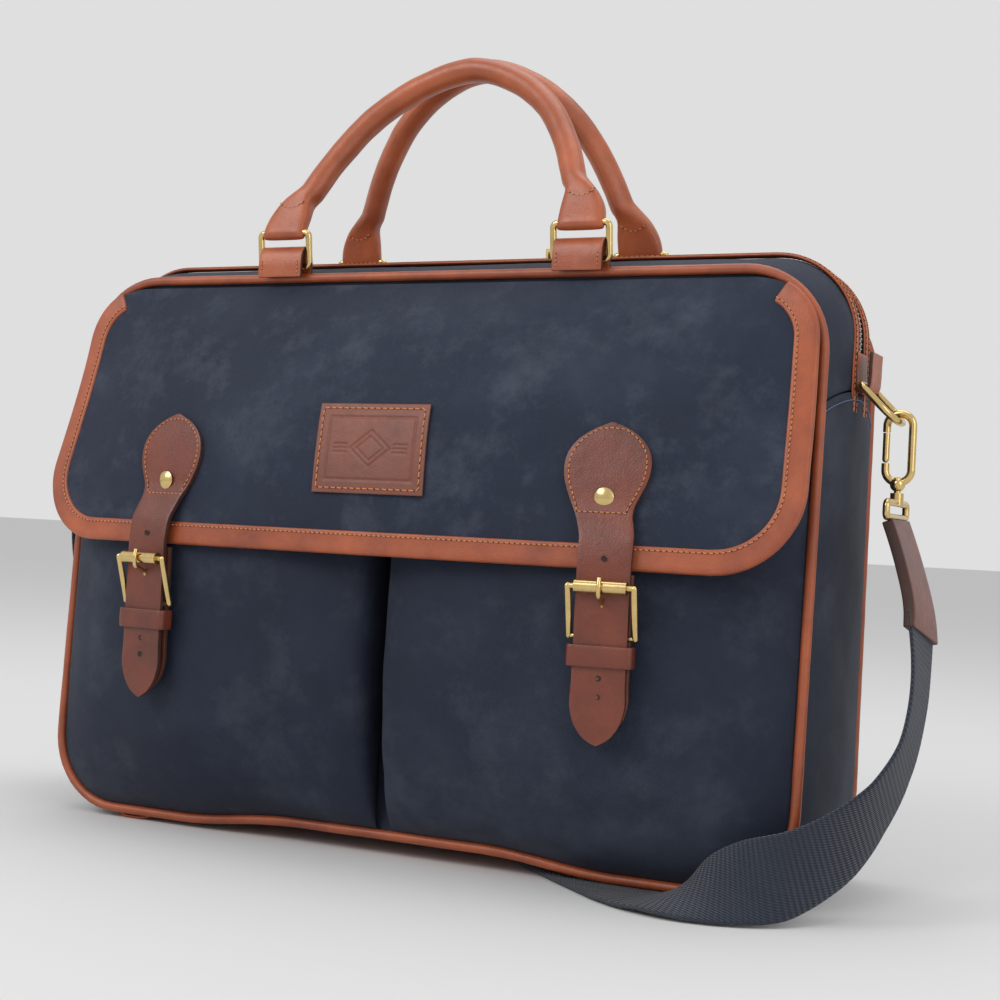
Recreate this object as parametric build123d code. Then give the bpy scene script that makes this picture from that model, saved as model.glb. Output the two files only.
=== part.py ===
"""Soft briefcase-style messenger bag: waxed canvas body, leather trim, brass hardware.

Frame: millimetres, +X to the wearer's right along the bag, -Y is the flap side, +Z up.
The origin is the middle of the footprint, on the surface that the bag stands on.
"""
import math
import os

from build123d import *

os.makedirs("parts", exist_ok=True)

# ---------------------------------------------------------------- driving dimensions
BODY_HALF_W = 211.0      # seam line of the front and rear panels
TOP_Z = 297.5
BOTTOM_Z = 5.0
BOTTOM_ARCH = 5.5        # the middle of the bottom bows up over the shoulder strap
ARCH_END_X = 125.0
ARCH_TOP_X = 55.0
ARCH_R = 300.0
CORNER_R = 40.0
FRONT_FOOT_Y = -30.5     # the front panel leans back from here...
FRONT_TOP_Y = -15.5      # ...to here
CREST_Y = 30.0           # the top gusset is highest along this line
REAR_Y = 76.0
TOP_DOME = 12.0
SIDE_DOME = 5.0
CANVAS_T = 2.0
LINING_T = 0.8
PIPING_R = 2.5
HEM_Z = 234.0            # the lower gusset ends here, the zipped gusset starts

ZIP_SLOT = 14.0
EDGING_W = 7.0
EDGING_T = 1.2

FLAP_BOTTOM_Z = 153.0
FLAP_HALF_W = 214.0
FLAP_TOP_HALF_W = 208.0
FLAP_PIVOT_Z = 293.5
FLAP_T = 2.0
BINDING_W = 10.5
BINDING_T = 1.1
# height, depth of the flap's side edge, extra bulge of its middle
FLAP_PROFILE = [
    (293.5, -18.3, 0.0), (275.0, -21.5, 13.0), (250.0, -26.5, 23.0), (226.0, -32.8, 27.5),
    (204.0, -39.5, 26.0), (182.0, -46.0, 22.5), (166.0, -50.0, 20.0), (150.0, -53.5, 17.5),
]

POCKET_DEPTH = 39.0
POCKET_T = 1.6
POCKET_GAP_X = 3.5       # half of the pleat between the two pockets
# height and share of the full depth, from the bottom seam to the pocket's mouth
POCKET_RISE = [(9.0, 0.08), (22.0, 0.45), (45.0, 0.82), (75.0, 0.97), (110.0, 1.0),
               (150.0, 1.0), (175.0, 0.98), (205.0, 0.84)]
# distance from the middle and share of the depth, across one pocket
POCKET_SPAN = [(3.5, 0.55), (14.0, 0.85), (50.0, 0.98), (100.0, 1.0), (127.0, 0.92),
               (165.0, 0.68), (190.0, 0.42), (205.0, 0.18)]

CLOSURE_X = 127.0
CLOSURE_Y = -62.3        # just in front of the pocket, behind the closure straps
BAR_Z = 121.0
CLOSURE_YAW = 8.0
STRAP_W = 25.0
TAB_W = 41.0
STRAP_T = 2.2
STRAP_TIP_Z = 72.0
STRAP_FOLD_Z = 174.0     # the strap lifts about this line on the flap
TAB_TIP_Z = 219.0
TAB_X = 123.0
TAB_GAP = 0.5            # the tab's back lies this far in front of the canvas

LOOP_X = 86.5
LOOP_W = 25.0
LOOP_T = 2.0
RING_WIRE_R = 1.75
RING_HALF_W = 15.0       # centre line of the handle rings
RING_HALF_H = 9.2
RING_BAR_Z = 303.2       # the rings' lower bars, low in their loops
LOOP_TOP_Z = 313.5
# name, depth of the lower bars, lean of the rings and of the handle (degrees, to the rear)
HANDLE_ROWS = [("front", -17.5, -8.0, 24.0), ("rear", 71.0, -28.0, -13.5)]
HANDLE_R = 7.0
# half width and height above the ring's upper bar, from the foot to the middle of the grip
HANDLE_CURVE = [(77.5, 25.0), (68.0, 48.0), (50.0, 75.5), (28.0, 93.0), (0.0, 102.0)]

SIDE_Y = 28.0
SIDE_RING_X = 220.6
SIDE_RING_Z = 246.0
SIDE_RING_DROP = 45.0    # degrees below level
SIDE_RING_DEPTH = 24.0
SIDE_RING_HALF_W = 13.0

WEB_W = 38.0
WEB_T = 2.0
TAB_LEATHER_T = 6.0
# the shoulder strap's route: middle of the webbing, and the direction across it
STRAP_ROUTE = [
    ((252, 25, 136), (-0.10, -0.97, 0.15)),
    ((255, 19, 115), (-0.03, -0.96, 0.28)),
    ((256, 9, 92), (0.02, -0.92, 0.40)),
    ((254, -3, 70), (0.05, -0.85, 0.52)),
    ((246, -18, 50), (0.00, -0.74, 0.67)),
    ((235, -34, 35), (-0.14, -0.52, 0.84)),
    ((223, -48, 26), (-0.17, -0.28, 0.94)),
    ((212, -59, 21), (-0.05, 0.10, 0.99)),
    ((197, -62, 18), (0.14, 0.42, 0.90)),
    ((176, -62, 12), (0.20, 0.70, 0.58)),
    ((158, -57, 5), (0.45, 0.85, 0.18)),
    ((142, -49, 1.4), (0.50, 0.86, 0.0)),
    ((124, -34, 1.3), (0.52, 0.85, 0.0)),
    ((100, -14, 1.3), (0.56, 0.83, 0.0)),
    ((76, 8, 1.3), (0.68, 0.73, 0.0)),
    ((56, 32, 1.3), (0.80, 0.60, 0.0)),
    ((42, 58, 1.3), (0.88, 0.47, 0.0)),
    ((32, 84, 1.4), (0.93, 0.32, 0.0)),
    ((22, 100, 7), (0.80, 0.50, 0.20)),
    ((2, 109, 16.5), (0.50, 0.16, 0.80)),
    ((-24, 106, 19.4), (0.04, 0.02, 1.0)),
    ((-60, 97, 19.4), (0.0, 0.0, 1.0)),
    ((-100, 92, 19.4), (0.0, 0.0, 1.0)),
    ((-140, 92, 20), (-0.02, 0.0, 1.0)),
    ((-178, 95, 24), (-0.14, 0.06, 0.98)),
    ((-210, 95, 36), (-0.36, 0.22, 0.90)),
    ((-234, 86, 56), (-0.44, 0.48, 0.75)),
    ((-247, 71, 82), (-0.30, 0.74, 0.60)),
    ((-252, 53, 110), (-0.14, 0.88, 0.45)),
    ((-250, 38, 138), (-0.04, 0.96, 0.28)),
    ((-246, 30, 162), (0.0, 0.99, 0.10)),
    ((-241.8, 28, 182.5), (0.0, 1.0, 0.0)),
    ((-240, 28, 186.2), (0.0, 1.0, 0.0)),
    ((-237.3, 28, 187.0), (0.0, 1.0, 0.0)),
]
RETURN_FROM, RETURN_TO = 25, 31   # the doubled end follows these points of the route
RETURN_GAP = 5.4
RETURN_TOP = ((-233.8, 28, 184.0), (0.0, 1.0, 0.0))


# ---------------------------------------------------------------- small helpers
def mirrored(shape):
    return mirror(shape, about=Plane.YZ)


def largest(shape):
    """Leave out the slivers that a cut beside a tangent surface makes."""
    return max(shape.solids(), key=lambda solid: solid.volume)


def slab(x0, y0, z0, x1, y1, z1):
    size = (x1 - x0, y1 - y0, z1 - z0)
    return Pos((x0 + x1) / 2, (y0 + y1) / 2, (z0 + z1) / 2) * Box(*size)


def rod(a, b, radius):
    """Round bar from point a to point b."""
    a, b = Vector(a), Vector(b)
    return Solid.make_cylinder(radius, (b - a).length, Plane(origin=a, z_dir=b - a))


def wire_loop(points, radii, radius, close=True):
    """Round wire bent along a rounded polygon."""
    path = FilletPolyline(*points, radius=radii, close=close)
    start = Plane(origin=path @ 0, z_dir=path % 0)
    return sweep(start * Circle(radius), path=path)


def interpolate(table, value, column=1):
    """Straight-line reading of a column against the table's first one."""
    rows = sorted(table)
    if value <= rows[0][0]:
        return rows[0][column]
    for low, high in zip(rows, rows[1:]):
        if value <= high[0]:
            share = (value - low[0]) / (high[0] - low[0])
            return low[column] + share * (high[column] - low[column])
    return rows[-1][column]


def front_y(z):
    """The front panel's outer face at height z."""
    share = (z - BOTTOM_Z) / (TOP_Z - BOTTOM_Z)
    return FRONT_FOOT_Y + share * (FRONT_TOP_Y - FRONT_FOOT_Y)


# ---------------------------------------------------------------- the body's outer form
def outline(y_of_z, inset=0.0, top=0.0, side=0.0):
    """Rounded outline of the body in a plane across Y."""
    half, high, low = BODY_HALF_W + side - inset, TOP_Z + top - inset, BOTTOM_Z + inset
    corner = CORNER_R - inset
    arch = low + BOTTOM_ARCH
    spots = [(-half, high), (half, high), (half, low), (ARCH_END_X, low), (ARCH_TOP_X, arch),
             (-ARCH_TOP_X, arch), (-ARCH_END_X, low), (-half, low)]
    radii = [corner] * 3 + [ARCH_R] * 4 + [corner]
    return FilletPolyline(*[(x, y_of_z(z), z) for x, z in spots], radius=radii, close=True)


def body_form(inset):
    """The filled body, domed along the top and sides, each wall moved in by inset."""
    return loft([
        make_face(outline(front_y, inset)),
        make_face(outline(lambda z: CREST_Y, inset, TOP_DOME, SIDE_DOME)),
        make_face(outline(lambda z: REAR_Y, inset)),
    ])


def front_layer(near, far):
    """Space between two planes parallel to the front panel, near and far behind its face."""
    low, high = -40.0, 380.0
    corners = [(0, front_y(low) + near, low), (0, front_y(high) + near, high),
               (0, front_y(high) + far, high), (0, front_y(low) + far, low)]
    face = make_face(Polyline(*corners, close=True))
    return extrude(face, amount=300, dir=(1, 0, 0), both=True)


def rear_layer(near, far):
    return slab(-300, REAR_Y - far, -40, 300, REAR_Y - near, 380)


def crest_band(y0, y1, low, high):
    """Strip that follows the top gusset's crest, from low to high above the canvas."""
    def face(offset):
        return make_face(outline(lambda z: y0, -offset, TOP_DOME, SIDE_DOME))
    band = extrude(face(high), amount=y1 - y0, dir=(0, 1, 0))
    band -= extrude(face(low), amount=y1 - y0, dir=(0, 1, 0))
    return band & slab(-300, -100, HEM_Z + 1, 300, 200, 400)


def piping(y_of_z, radius=PIPING_R):
    path = outline(y_of_z)
    return sweep(Plane(origin=path @ 0, z_dir=path % 0) * Circle(radius), path=path)


def make_body():
    outer = body_form(0.0)
    front_cord, rear_cord = piping(front_y), piping(lambda z: REAR_Y)
    ring = outer - body_form(CANVAS_T) - front_layer(-40, CANVAS_T) - rear_layer(-40, CANVAS_T)
    ring = ring - front_cord - rear_cord
    upper = ring & slab(-300, -100, HEM_Z, 300, 200, 400)
    slot_front, slot_rear = CREST_Y - ZIP_SLOT / 2, CREST_Y + ZIP_SLOT / 2
    edgings = crest_band(slot_front - EDGING_W, slot_front + 1, -1.6, EDGING_T)
    edgings += crest_band(slot_rear - 1, slot_rear + EDGING_W, -1.6, EDGING_T)
    lining = body_form(CANVAS_T + 0.4) - front_layer(-40, CANVAS_T + 0.4)
    lining -= rear_layer(-40, CANVAS_T + 0.4)
    inside = CANVAS_T + 0.4 + LINING_T
    hollow = body_form(inside) - front_layer(-40, inside) - rear_layer(-40, inside)
    lining = lining - hollow - slab(-300, -100, TOP_Z - 14, 300, 200, 400)
    return {
        "front_panel": largest((outer & front_layer(0, CANVAS_T)) - front_cord),
        "rear_panel": (outer & rear_layer(0, CANVAS_T)) - rear_cord,
        "lower_gusset": ring & slab(-300, -100, -40, 300, 200, HEM_Z),
        "top_gusset_front": upper & slab(-300, -100, 0, 300, slot_front, 400),
        "top_gusset_rear": upper & slab(-300, slot_rear, 0, 300, 200, 400),
        "zip_edgings": edgings - outer,
        "zip_tapes": crest_band(slot_front, CREST_Y - 0.3, -2.4, -1.4)
        + crest_band(CREST_Y + 0.3, slot_rear, -2.4, -1.4),
        "zip_teeth": crest_band(CREST_Y - 2.6, CREST_Y + 2.6, -1.3, 0.6),
        "front_piping": front_cord,
        "rear_piping": rear_cord,
        "base_panel": base_panel(outer, front_cord, rear_cord),
        "base_board": base_board(),
        "lining": lining,
    }


def base_panel(outer, front_cord, rear_cord):
    """Leather under the bottom: it stands on two strips and clears the strap between them."""
    half = [(ARCH_TOP_X, 7.4), (146.0, 3.4), (154.0, 0.0), (168.0, 0.0), (168.0, 14.0)]
    spots = half + [(-x, z) for x, z in reversed(half)]
    face = make_face(Polyline(*[(x, FRONT_FOOT_Y + 1.0, z) for x, z in spots], close=True))
    depth = REAR_Y - FRONT_FOOT_Y - 2.0
    return extrude(face, amount=depth, dir=(0, 1, 0)) - outer - front_cord - rear_cord


def base_board():
    """Stiffener that lies inside the lining."""
    gap = CANVAS_T + 0.4 + LINING_T + 0.1
    def face(inset):
        return make_face(outline(lambda z: FRONT_FOOT_Y + 7, inset))
    depth = REAR_Y - FRONT_FOOT_Y - 14
    board = extrude(face(gap), amount=depth, dir=(0, 1, 0))
    board -= extrude(face(gap + 2.0), amount=depth, dir=(0, 1, 0))
    return board & slab(-160, -100, 0, 160, 200, 30)


# ---------------------------------------------------------------- pockets
def pocket_edge_x(z):
    """The pocket's outer side stays inside the front seam's rounded corner."""
    if z >= BOTTOM_Z + CORNER_R:
        return POCKET_SPAN[-1][0]
    rise = BOTTOM_Z + CORNER_R - z
    reach = BODY_HALF_W - CORNER_R + math.sqrt(CORNER_R ** 2 - rise ** 2)
    return min(POCKET_SPAN[-1][0], reach - 6.0)


def pocket_form(inset):
    """Filled pocket on the +X side; inset moves its front, sides and bottom in."""
    sections = []
    for z, rise in POCKET_RISE:
        scale = pocket_edge_x(z) / POCKET_SPAN[-1][0]
        back = front_y(z) + (4.0 if inset else 0.0)
        spots = []
        for x, share in POCKET_SPAN:
            depth = POCKET_DEPTH * share * rise
            spots.append((x * scale if x > 60 else x, front_y(z) - max(depth - inset, 0.3)))
        spots[0] = (spots[0][0] + inset, spots[0][1])
        spots[-1] = (spots[-1][0] - inset, spots[-1][1])
        spots = [(spots[0][0], back)] + spots + [(spots[-1][0], back)]
        lift = inset if z < 20 else 0.0
        top = 3.0 if inset and z > 200 else 0.0
        sections.append(make_face(Polyline(*[(x, y, z + lift + top) for x, y in spots],
                                           close=True)))
    return loft(sections, ruled=True)


def make_pockets():
    right = pocket_form(0.0) - pocket_form(POCKET_T)
    right = largest(right - piping(front_y, PIPING_R + 0.15))
    return {"pocket_right": right, "pocket_left": mirrored(right)}


# ---------------------------------------------------------------- flap
def flap_y(x, z):
    """The flap's outer face."""
    bulge = interpolate(FLAP_PROFILE, z, 2) * max(0.0, 1 - (x / BODY_HALF_W) ** 2)
    return interpolate(FLAP_PROFILE, z) - bulge


def flap_layer(outer, inner):
    """Sheet along the flap's face, from outer in front of it to inner behind it."""
    sections = []
    for x in (-218, -165, -110, -55, 0, 55, 110, 165, 218):
        face = [Vector(x, flap_y(x, z), z) for z, _, _ in FLAP_PROFILE]
        front, back = [], []
        for i, spot in enumerate(face):
            along = face[min(i + 1, len(face) - 1)] - face[max(i - 1, 0)]
            out = Vector(0, along.Z, -along.Y).normalized()
            front.append(spot + out * outer)
            back.append(spot - out * inner)
        sections.append(make_face(Polyline(*front, *reversed(back), close=True)))
    return loft(sections, ruled=True)


def flap_cut(inset, top_z=FLAP_PIVOT_Z):
    """Prism of the flap's outline seen from the front."""
    low = FLAP_BOTTOM_Z + inset
    spots = [(-FLAP_TOP_HALF_W + inset, top_z), (FLAP_TOP_HALF_W - inset, top_z),
             (FLAP_HALF_W - inset, low), (-FLAP_HALF_W + inset, low)]
    wire = FilletPolyline(*[(x, -150, z) for x, z in spots], radius=[38, 38, 40, 40], close=True)
    return extrude(make_face(wire), amount=150, dir=(0, 1, 0))


def make_flap():
    flap = flap_layer(0.0, FLAP_T) & flap_cut(1.0)
    border = flap_cut(0.0) - flap_cut(BINDING_W, FLAP_PIVOT_Z + 60)
    border &= slab(-300, -200, 0, 300, 100, TOP_Z - 15)
    binding = (flap_layer(BINDING_T, FLAP_T + BINDING_T) & border) - flap
    patch_low, patch_high = 181.5, 226.5
    lean = math.degrees(math.atan2(flap_y(0, patch_high) - flap_y(0, patch_low),
                                   patch_high - patch_low))
    middle = (flap_y(0, patch_low) + flap_y(0, patch_high)) / 2
    patch = Pos(0, middle - 2.5, (patch_low + patch_high) / 2) * Rot(-lean, 0, 0)
    patch *= Box(63.0, 2.0, 45.6)
    return {"flap": flap, "flap_binding": binding, "patch": patch}


# ---------------------------------------------------------------- closure straps
def at_closure(side):
    """Local frame of a closure: x across the strap, -y away from the bag, z up from the bar."""
    return Pos(side * CLOSURE_X, CLOSURE_Y, BAR_Z) * Rot(0, 0, side * CLOSURE_YAW)


def strap_shape(spots, radii, y0, y1):
    """Plate with the given outline in the local front plane, between depths y0 and y1."""
    wire = FilletPolyline(*[(x, y0, z) for x, z in spots], radius=radii, close=True)
    return extrude(make_face(wire), amount=y1 - y0, dir=(0, 1, 0))


def side_prism(spots, half_width):
    """Solid with a profile given as (depth, height), spread to both sides."""
    face = make_face(Polyline(*[(0, y, z) for y, z in spots], close=True))
    return extrude(face, amount=half_width, dir=(1, 0, 0), both=True)


def pointed(half, top, shoulder, tip):
    """Outline of a strap end: straight sides, rounded shoulders, pointed tip."""
    spots = [(-half, top), (half, top), (half, shoulder), (0, tip), (-half, shoulder)]
    return spots, [0.5, 0.5, 5.0, 0.8, 5.0]


def make_closure(side):
    backing_front, backing_back = -4.8, -2.6
    strap_back = -6.3
    strap_front = strap_back - STRAP_T
    roller_y, roller_z, roller_r = -11.8, 23.0, 3.0
    bar_r, bar_y = 1.3, -4.9
    tip = STRAP_TIP_Z - BAR_Z
    fold = STRAP_FOLD_Z - BAR_Z

    spots, radii = pointed(STRAP_W / 2 + 0.8, 29.0, tip + 16, tip + 2)
    backing = strap_shape(spots, radii, backing_front, backing_back)
    backing -= slab(-20, backing_front - 1, -1.8, 20, backing_front + 1.4, 1.8)
    backing -= slab(-2.2, -6, -3.0, 2.2, 0, 14)

    low_bend = fold - 15
    profile = [(strap_back, tip - 1), (strap_back, low_bend), (-2.6, fold - 0.3),
               (-2.6 - STRAP_T, fold - 0.3), (strap_front, low_bend - 0.5), (strap_front, tip - 1)]
    strap = side_prism(profile, 20)
    front = [(-17.0, fold), (17.0, fold), (STRAP_W / 2, fold - 19), (STRAP_W / 2, tip + 15),
             (0, tip), (-STRAP_W / 2, tip + 15), (-STRAP_W / 2, fold - 19)]
    strap &= strap_shape(front, [0.5, 0.5, 20, 5, 0.8, 5, 20], -30, 10)
    strap -= slab(-1.8, strap_back - 1.2, -3.2, 1.8, strap_back + 1, 12)
    strap -= slab(-1.8, -20, 10.0, 1.8, 0, 18.5)
    for z in (36.0, -18.5, -27.0):
        strap -= rod((0, -20, z), (0, 0, z), 1.5)

    keeper = slab(-15.6, -10.4, -13.5, 15.6, -1.0, -3.5) - slab(-14, -9.0, -20, 14, -2.3, 0)

    half = 15.5
    corners = [(-half, bar_y, 0), (half, bar_y, 0), (half, roller_y, roller_z),
               (-half, roller_y, roller_z)]
    frame = rod(corners[0], corners[1], bar_r) + rod(corners[2], corners[3], bar_r)
    frame += rod(corners[1], corners[2], 1.5) + rod(corners[3], corners[0], 1.5)
    for corner in corners:
        frame += Pos(*corner) * Sphere(1.5)
    roller = rod((-12.2, roller_y, roller_z), (12.2, roller_y, roller_z), roller_r)
    roller -= rod((-20, roller_y, roller_z), (20, roller_y, roller_z), bar_r + 0.06)

    path = FilletPolyline((0, bar_y - 0.2, 0.6), (0, bar_y - 0.4, 11.5), (0, -8.8, 16.0),
                          (0, -15.4, 18.6), (0, -16.3, 23.0), (0, -15.2, 27.2),
                          radius=[4, 4, 2.5, 5])
    prong = sweep(Plane(origin=path @ 0, z_dir=path % 0) * Circle(1.1), path=path)
    prong += rod((-1.6, bar_y, 0), (1.6, bar_y, 0), 2.3)
    prong -= rod((-20, bar_y, 0), (20, bar_y, 0), bar_r + 0.06)
    strap -= rod((-2.0, bar_y, 0), (2.0, bar_y, 0), 2.7)
    backing -= rod((-2.0, bar_y, 0), (2.0, bar_y, 0), 2.7)

    snap_z = 93.0 - BAR_Z
    stud = rod((0, backing_back, snap_z), (0, -0.3, snap_z), 3.4)
    name = "right" if side > 0 else "left"
    pieces = {"strap": strap, "strap_backing": backing, "strap_keeper": keeper,
              "buckle_frame": frame, "buckle_roller": roller, "buckle_prong": prong,
              "snap_stud": stud}
    return {f"{key}_{name}": at_closure(side) * shape for key, shape in pieces.items()}


def snap_socket(side):
    snap_z = 93.0 - BAR_Z
    ring = rod((0, -1.5, snap_z), (0, 1.4, snap_z), 7.0) - rod((0, -3, snap_z), (0, 0, snap_z), 4.2)
    return at_closure(side) * ring


def on_flap(side):
    """Turns a piece at x = 0 to lie along the flap's curve, beside its own face."""
    pivot = flap_y(TAB_X, 195.0)
    return Pos(side * TAB_X, pivot, 0) * Rot(0, 0, side * CLOSURE_YAW) * Pos(0, -pivot, 0)


def strap_tab(side):
    """The spade-shaped end of a closure strap, sewn and riveted to the flap."""
    heights = [STRAP_FOLD_Z + 0.2, 182.0, 194.0, 206.0, TAB_TIP_Z + 2]
    back = [(flap_y(TAB_X, z) - TAB_GAP, z) for z in heights]
    front = [(y - STRAP_T, z) for y, z in reversed(back)]
    plate = side_prism(back + front, 30)
    half, low = TAB_W / 2, STRAP_FOLD_Z
    spots = [(-17, low), (17, low), (half, low + 18), (half - 3, low + 33), (0, TAB_TIP_Z),
             (3 - half, low + 33), (-half, low + 18)]
    plate &= strap_shape(spots, [0.5, 0.5, 18, 12, 1, 12, 18], -100, 10)
    return on_flap(side) * plate


def strap_rivet(side):
    z = 185.0
    face = flap_y(TAB_X, z) - TAB_GAP - STRAP_T
    dome = Pos(0, face + 7.0, z) * Sphere(8.6)
    dome &= rod((0, face - 5, z), (0, face - 0.05, z), 4.6)
    return on_flap(side) * dome


# ---------------------------------------------------------------- handles
def handle_ring(x, y, lean):
    """Rectangular ring in a leaning plane; its lower bar lies in the loop."""
    high = 2 * RING_HALF_H
    spots = [(-RING_HALF_W, 0, 0), (RING_HALF_W, 0, 0), (RING_HALF_W, 0, high),
             (-RING_HALF_W, 0, high)]
    ring = wire_loop(spots, [2.4] * 4, RING_WIRE_R)
    return Pos(x, y, RING_BAR_Z) * Rot(-lean, 0, 0) * ring


def upper_bar(y, lean):
    """Centre of a ring's upper bar, as (y, z)."""
    angle = math.radians(lean)
    return y + 2 * RING_HALF_H * math.sin(angle), RING_BAR_Z + 2 * RING_HALF_H * math.cos(angle)


def handle_loop(x, y):
    """Leather folded over the ring's lower bar, both ends sewn into the seam."""
    half, low, high = 5.0, TOP_Z + 1.0, LOOP_TOP_Z
    middle = y

    def arch(inset):
        wire = FilletPolyline(
            (x, middle - half + inset, low), (x, middle - half + inset, high - inset),
            (x, middle + half - inset, high - inset), (x, middle + half - inset, low),
            radius=[0.4, half - inset - 0.2, half - inset - 0.2, 0.4], close=True)
        return make_face(wire)
    half_w = LOOP_W / 2
    return (extrude(arch(0.0), amount=half_w, dir=(1, 0, 0), both=True)
            - extrude(Pos(0, 0, -1.5) * arch(LOOP_T), amount=LOOP_W, dir=(1, 0, 0), both=True))


def handle(y, z, lean):
    """Rolled leather handle with a flattened foot folded round each ring."""
    right = [(x, 0, rise) for x, rise in HANDLE_CURVE]
    left = [(-x, 0, rise) for x, rise in HANDLE_CURVE[:-1]]
    path = Spline(*right, *reversed(left))
    grip = sweep(Plane(origin=path @ 0, z_dir=path % 0) * Circle(HANDLE_R), path=path)
    eye_r = RING_WIRE_R + 0.25
    foot_x, foot_rise = HANDLE_CURVE[0]
    for side in (-1, 1):
        along = (path % 0) if side > 0 else -(path % 1)
        along = Vector(along.X, 0, along.Z)
        top = Plane(origin=(side * foot_x, 0, foot_rise), x_dir=(along.Z, 0, -along.X),
                    z_dir=along)
        low = Plane(origin=(side * LOOP_X, 0, 1.0), x_dir=(1, 0, 0), z_dir=(0, 0, 1))
        foot = loft([low * RectangleRounded(LOOP_W, 8.0, 3.5), top * Circle(HANDLE_R)])
        foot += rod((side * LOOP_X - LOOP_W / 2, 0, 0), (side * LOOP_X + LOOP_W / 2, 0, 0),
                    eye_r + 2.0)
        grip += foot
        grip -= rod((side * LOOP_X - 20, 0, 0), (side * LOOP_X + 20, 0, 0), eye_r)
    return Pos(0, y, z) * Rot(-lean, 0, 0) * grip


def make_handles():
    pieces = {}
    for name, y, ring_lean, lean in HANDLE_ROWS:
        pieces[f"{name}_handle_rings"] = (handle_ring(-LOOP_X, y, ring_lean)
                                          + handle_ring(LOOP_X, y, ring_lean))
        pieces[f"{name}_handle_loops"] = (handle_loop(-LOOP_X, y)
                                          + handle_loop(LOOP_X, y))
        pieces[f"{name}_handle"] = handle(*upper_bar(y, ring_lean), lean)
    return pieces


# ---------------------------------------------------------------- zip sliders
def zip_slider(x):
    crest = TOP_Z + TOP_DOME
    body = slab(x - 5, CREST_Y - 4.4, crest + 0.9, x + 5, CREST_Y + 4.4, crest + 2.9)
    bridge = slab(x - 4, CREST_Y - 1.5, crest + 2.9, x + 4, CREST_Y + 1.5, crest + 8.5)
    bridge -= slab(x - 2.6, CREST_Y - 3, crest + 2.9, x + 2.6, CREST_Y + 3, crest + 6.7)
    return body + bridge


def zip_pull(x):
    """Pull tag that hangs from the slider's bridge down the rear of the dome."""
    crest = TOP_Z + TOP_DOME
    pivot_z = crest + 7.6
    eye = [(-2.9, -2.9), (2.9, -2.9), (2.9, 2.9), (-2.9, 2.9)]
    loop = wire_loop([(0, y, z) for y, z in eye], [1.6] * 4, 0.7)
    tag = slab(-3.2, 3.3, -0.8, 3.2, 21.0, 0.8) - rod((0, 17.5, -5), (0, 17.5, 5), 1.4)
    return Pos(x, CREST_Y, pivot_z) * Rot(-10, 0, 0) * (loop + tag)


# ---------------------------------------------------------------- side rings and hooks
def side_ring():
    """D ring: its straight bar runs along Y in the side loop."""
    half, depth = SIDE_RING_HALF_W, SIDE_RING_DEPTH
    spots = [(0, -half, 0), (0, half, 0), (depth, half, 0), (depth, -half, 0)]
    ring = wire_loop(spots, [2.4, 2.4, 10.5, 10.5], RING_WIRE_R)
    return Pos(SIDE_RING_X, SIDE_Y, SIDE_RING_Z) * Rot(0, SIDE_RING_DROP, 0) * ring


def side_loop():
    """Leather tag folded round the ring's bar and sewn to the side above it."""
    reach = RING_WIRE_R + 0.25
    x, z, half = SIDE_RING_X, SIDE_RING_Z, 10.0
    loop = rod((x, SIDE_Y - half, z), (x, SIDE_Y + half, z), reach + LOOP_T)
    loop += slab(x - reach - LOOP_T, SIDE_Y - half, z, x + reach + LOOP_T, SIDE_Y + half, z + 16)
    loop -= rod((x, SIDE_Y - 20, z), (x, SIDE_Y + 20, z), reach)
    return loop - body_form(-EDGING_T - 0.1)


def hook_spot():
    drop = math.radians(SIDE_RING_DROP)
    return (SIDE_RING_X + SIDE_RING_DEPTH * math.cos(drop),
            SIDE_RING_Z - SIDE_RING_DEPTH * math.sin(drop))


HOOK_HALF_W = 6.2
HOOK_WIRE_R = 1.9
HOOK_TALL = 33.0
GATE_LOW, GATE_HIGH, GATE_R = 9.0, 24.0, 1.7
EYE_DROP = 17.0          # the hook's bottom to the bar that the strap folds round


def snap_hook():
    """Closed hook in the XZ plane with a gap on its inner side for the gate."""
    x, bar_z = hook_spot()
    top = bar_z + RING_WIRE_R + 0.6 + HOOK_WIRE_R
    low = top - HOOK_TALL
    half = HOOK_HALF_W
    spots = [(x - half, SIDE_Y, low), (x + half, SIDE_Y, low),
             (x + half, SIDE_Y, top), (x - half, SIDE_Y, top)]
    hook = wire_loop(spots, [half - 0.3] * 4, HOOK_WIRE_R)
    hook -= slab(x - half - 4, SIDE_Y - 5, low + GATE_LOW, x - 1, SIDE_Y + 5, low + GATE_HIGH)
    hook += Pos(x, SIDE_Y, low - 1.0) * Sphere(3.6)
    hook += rod((x, SIDE_Y, low - 7.5), (x, SIDE_Y, low), 1.6)
    return hook - slab(x - 5, SIDE_Y - 5, low - 12, x + 5, SIDE_Y + 5, low - 7.2)


def hook_gate():
    x, bar_z = hook_spot()
    low = bar_z + RING_WIRE_R + 0.6 + HOOK_WIRE_R - HOOK_TALL
    inner = x - HOOK_HALF_W
    pivot = (inner, SIDE_Y, low + GATE_LOW + 0.3 + GATE_R)
    return rod(pivot, (inner, SIDE_Y, low + GATE_HIGH - 0.4), GATE_R) + Pos(*pivot) * Sphere(GATE_R)


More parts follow.
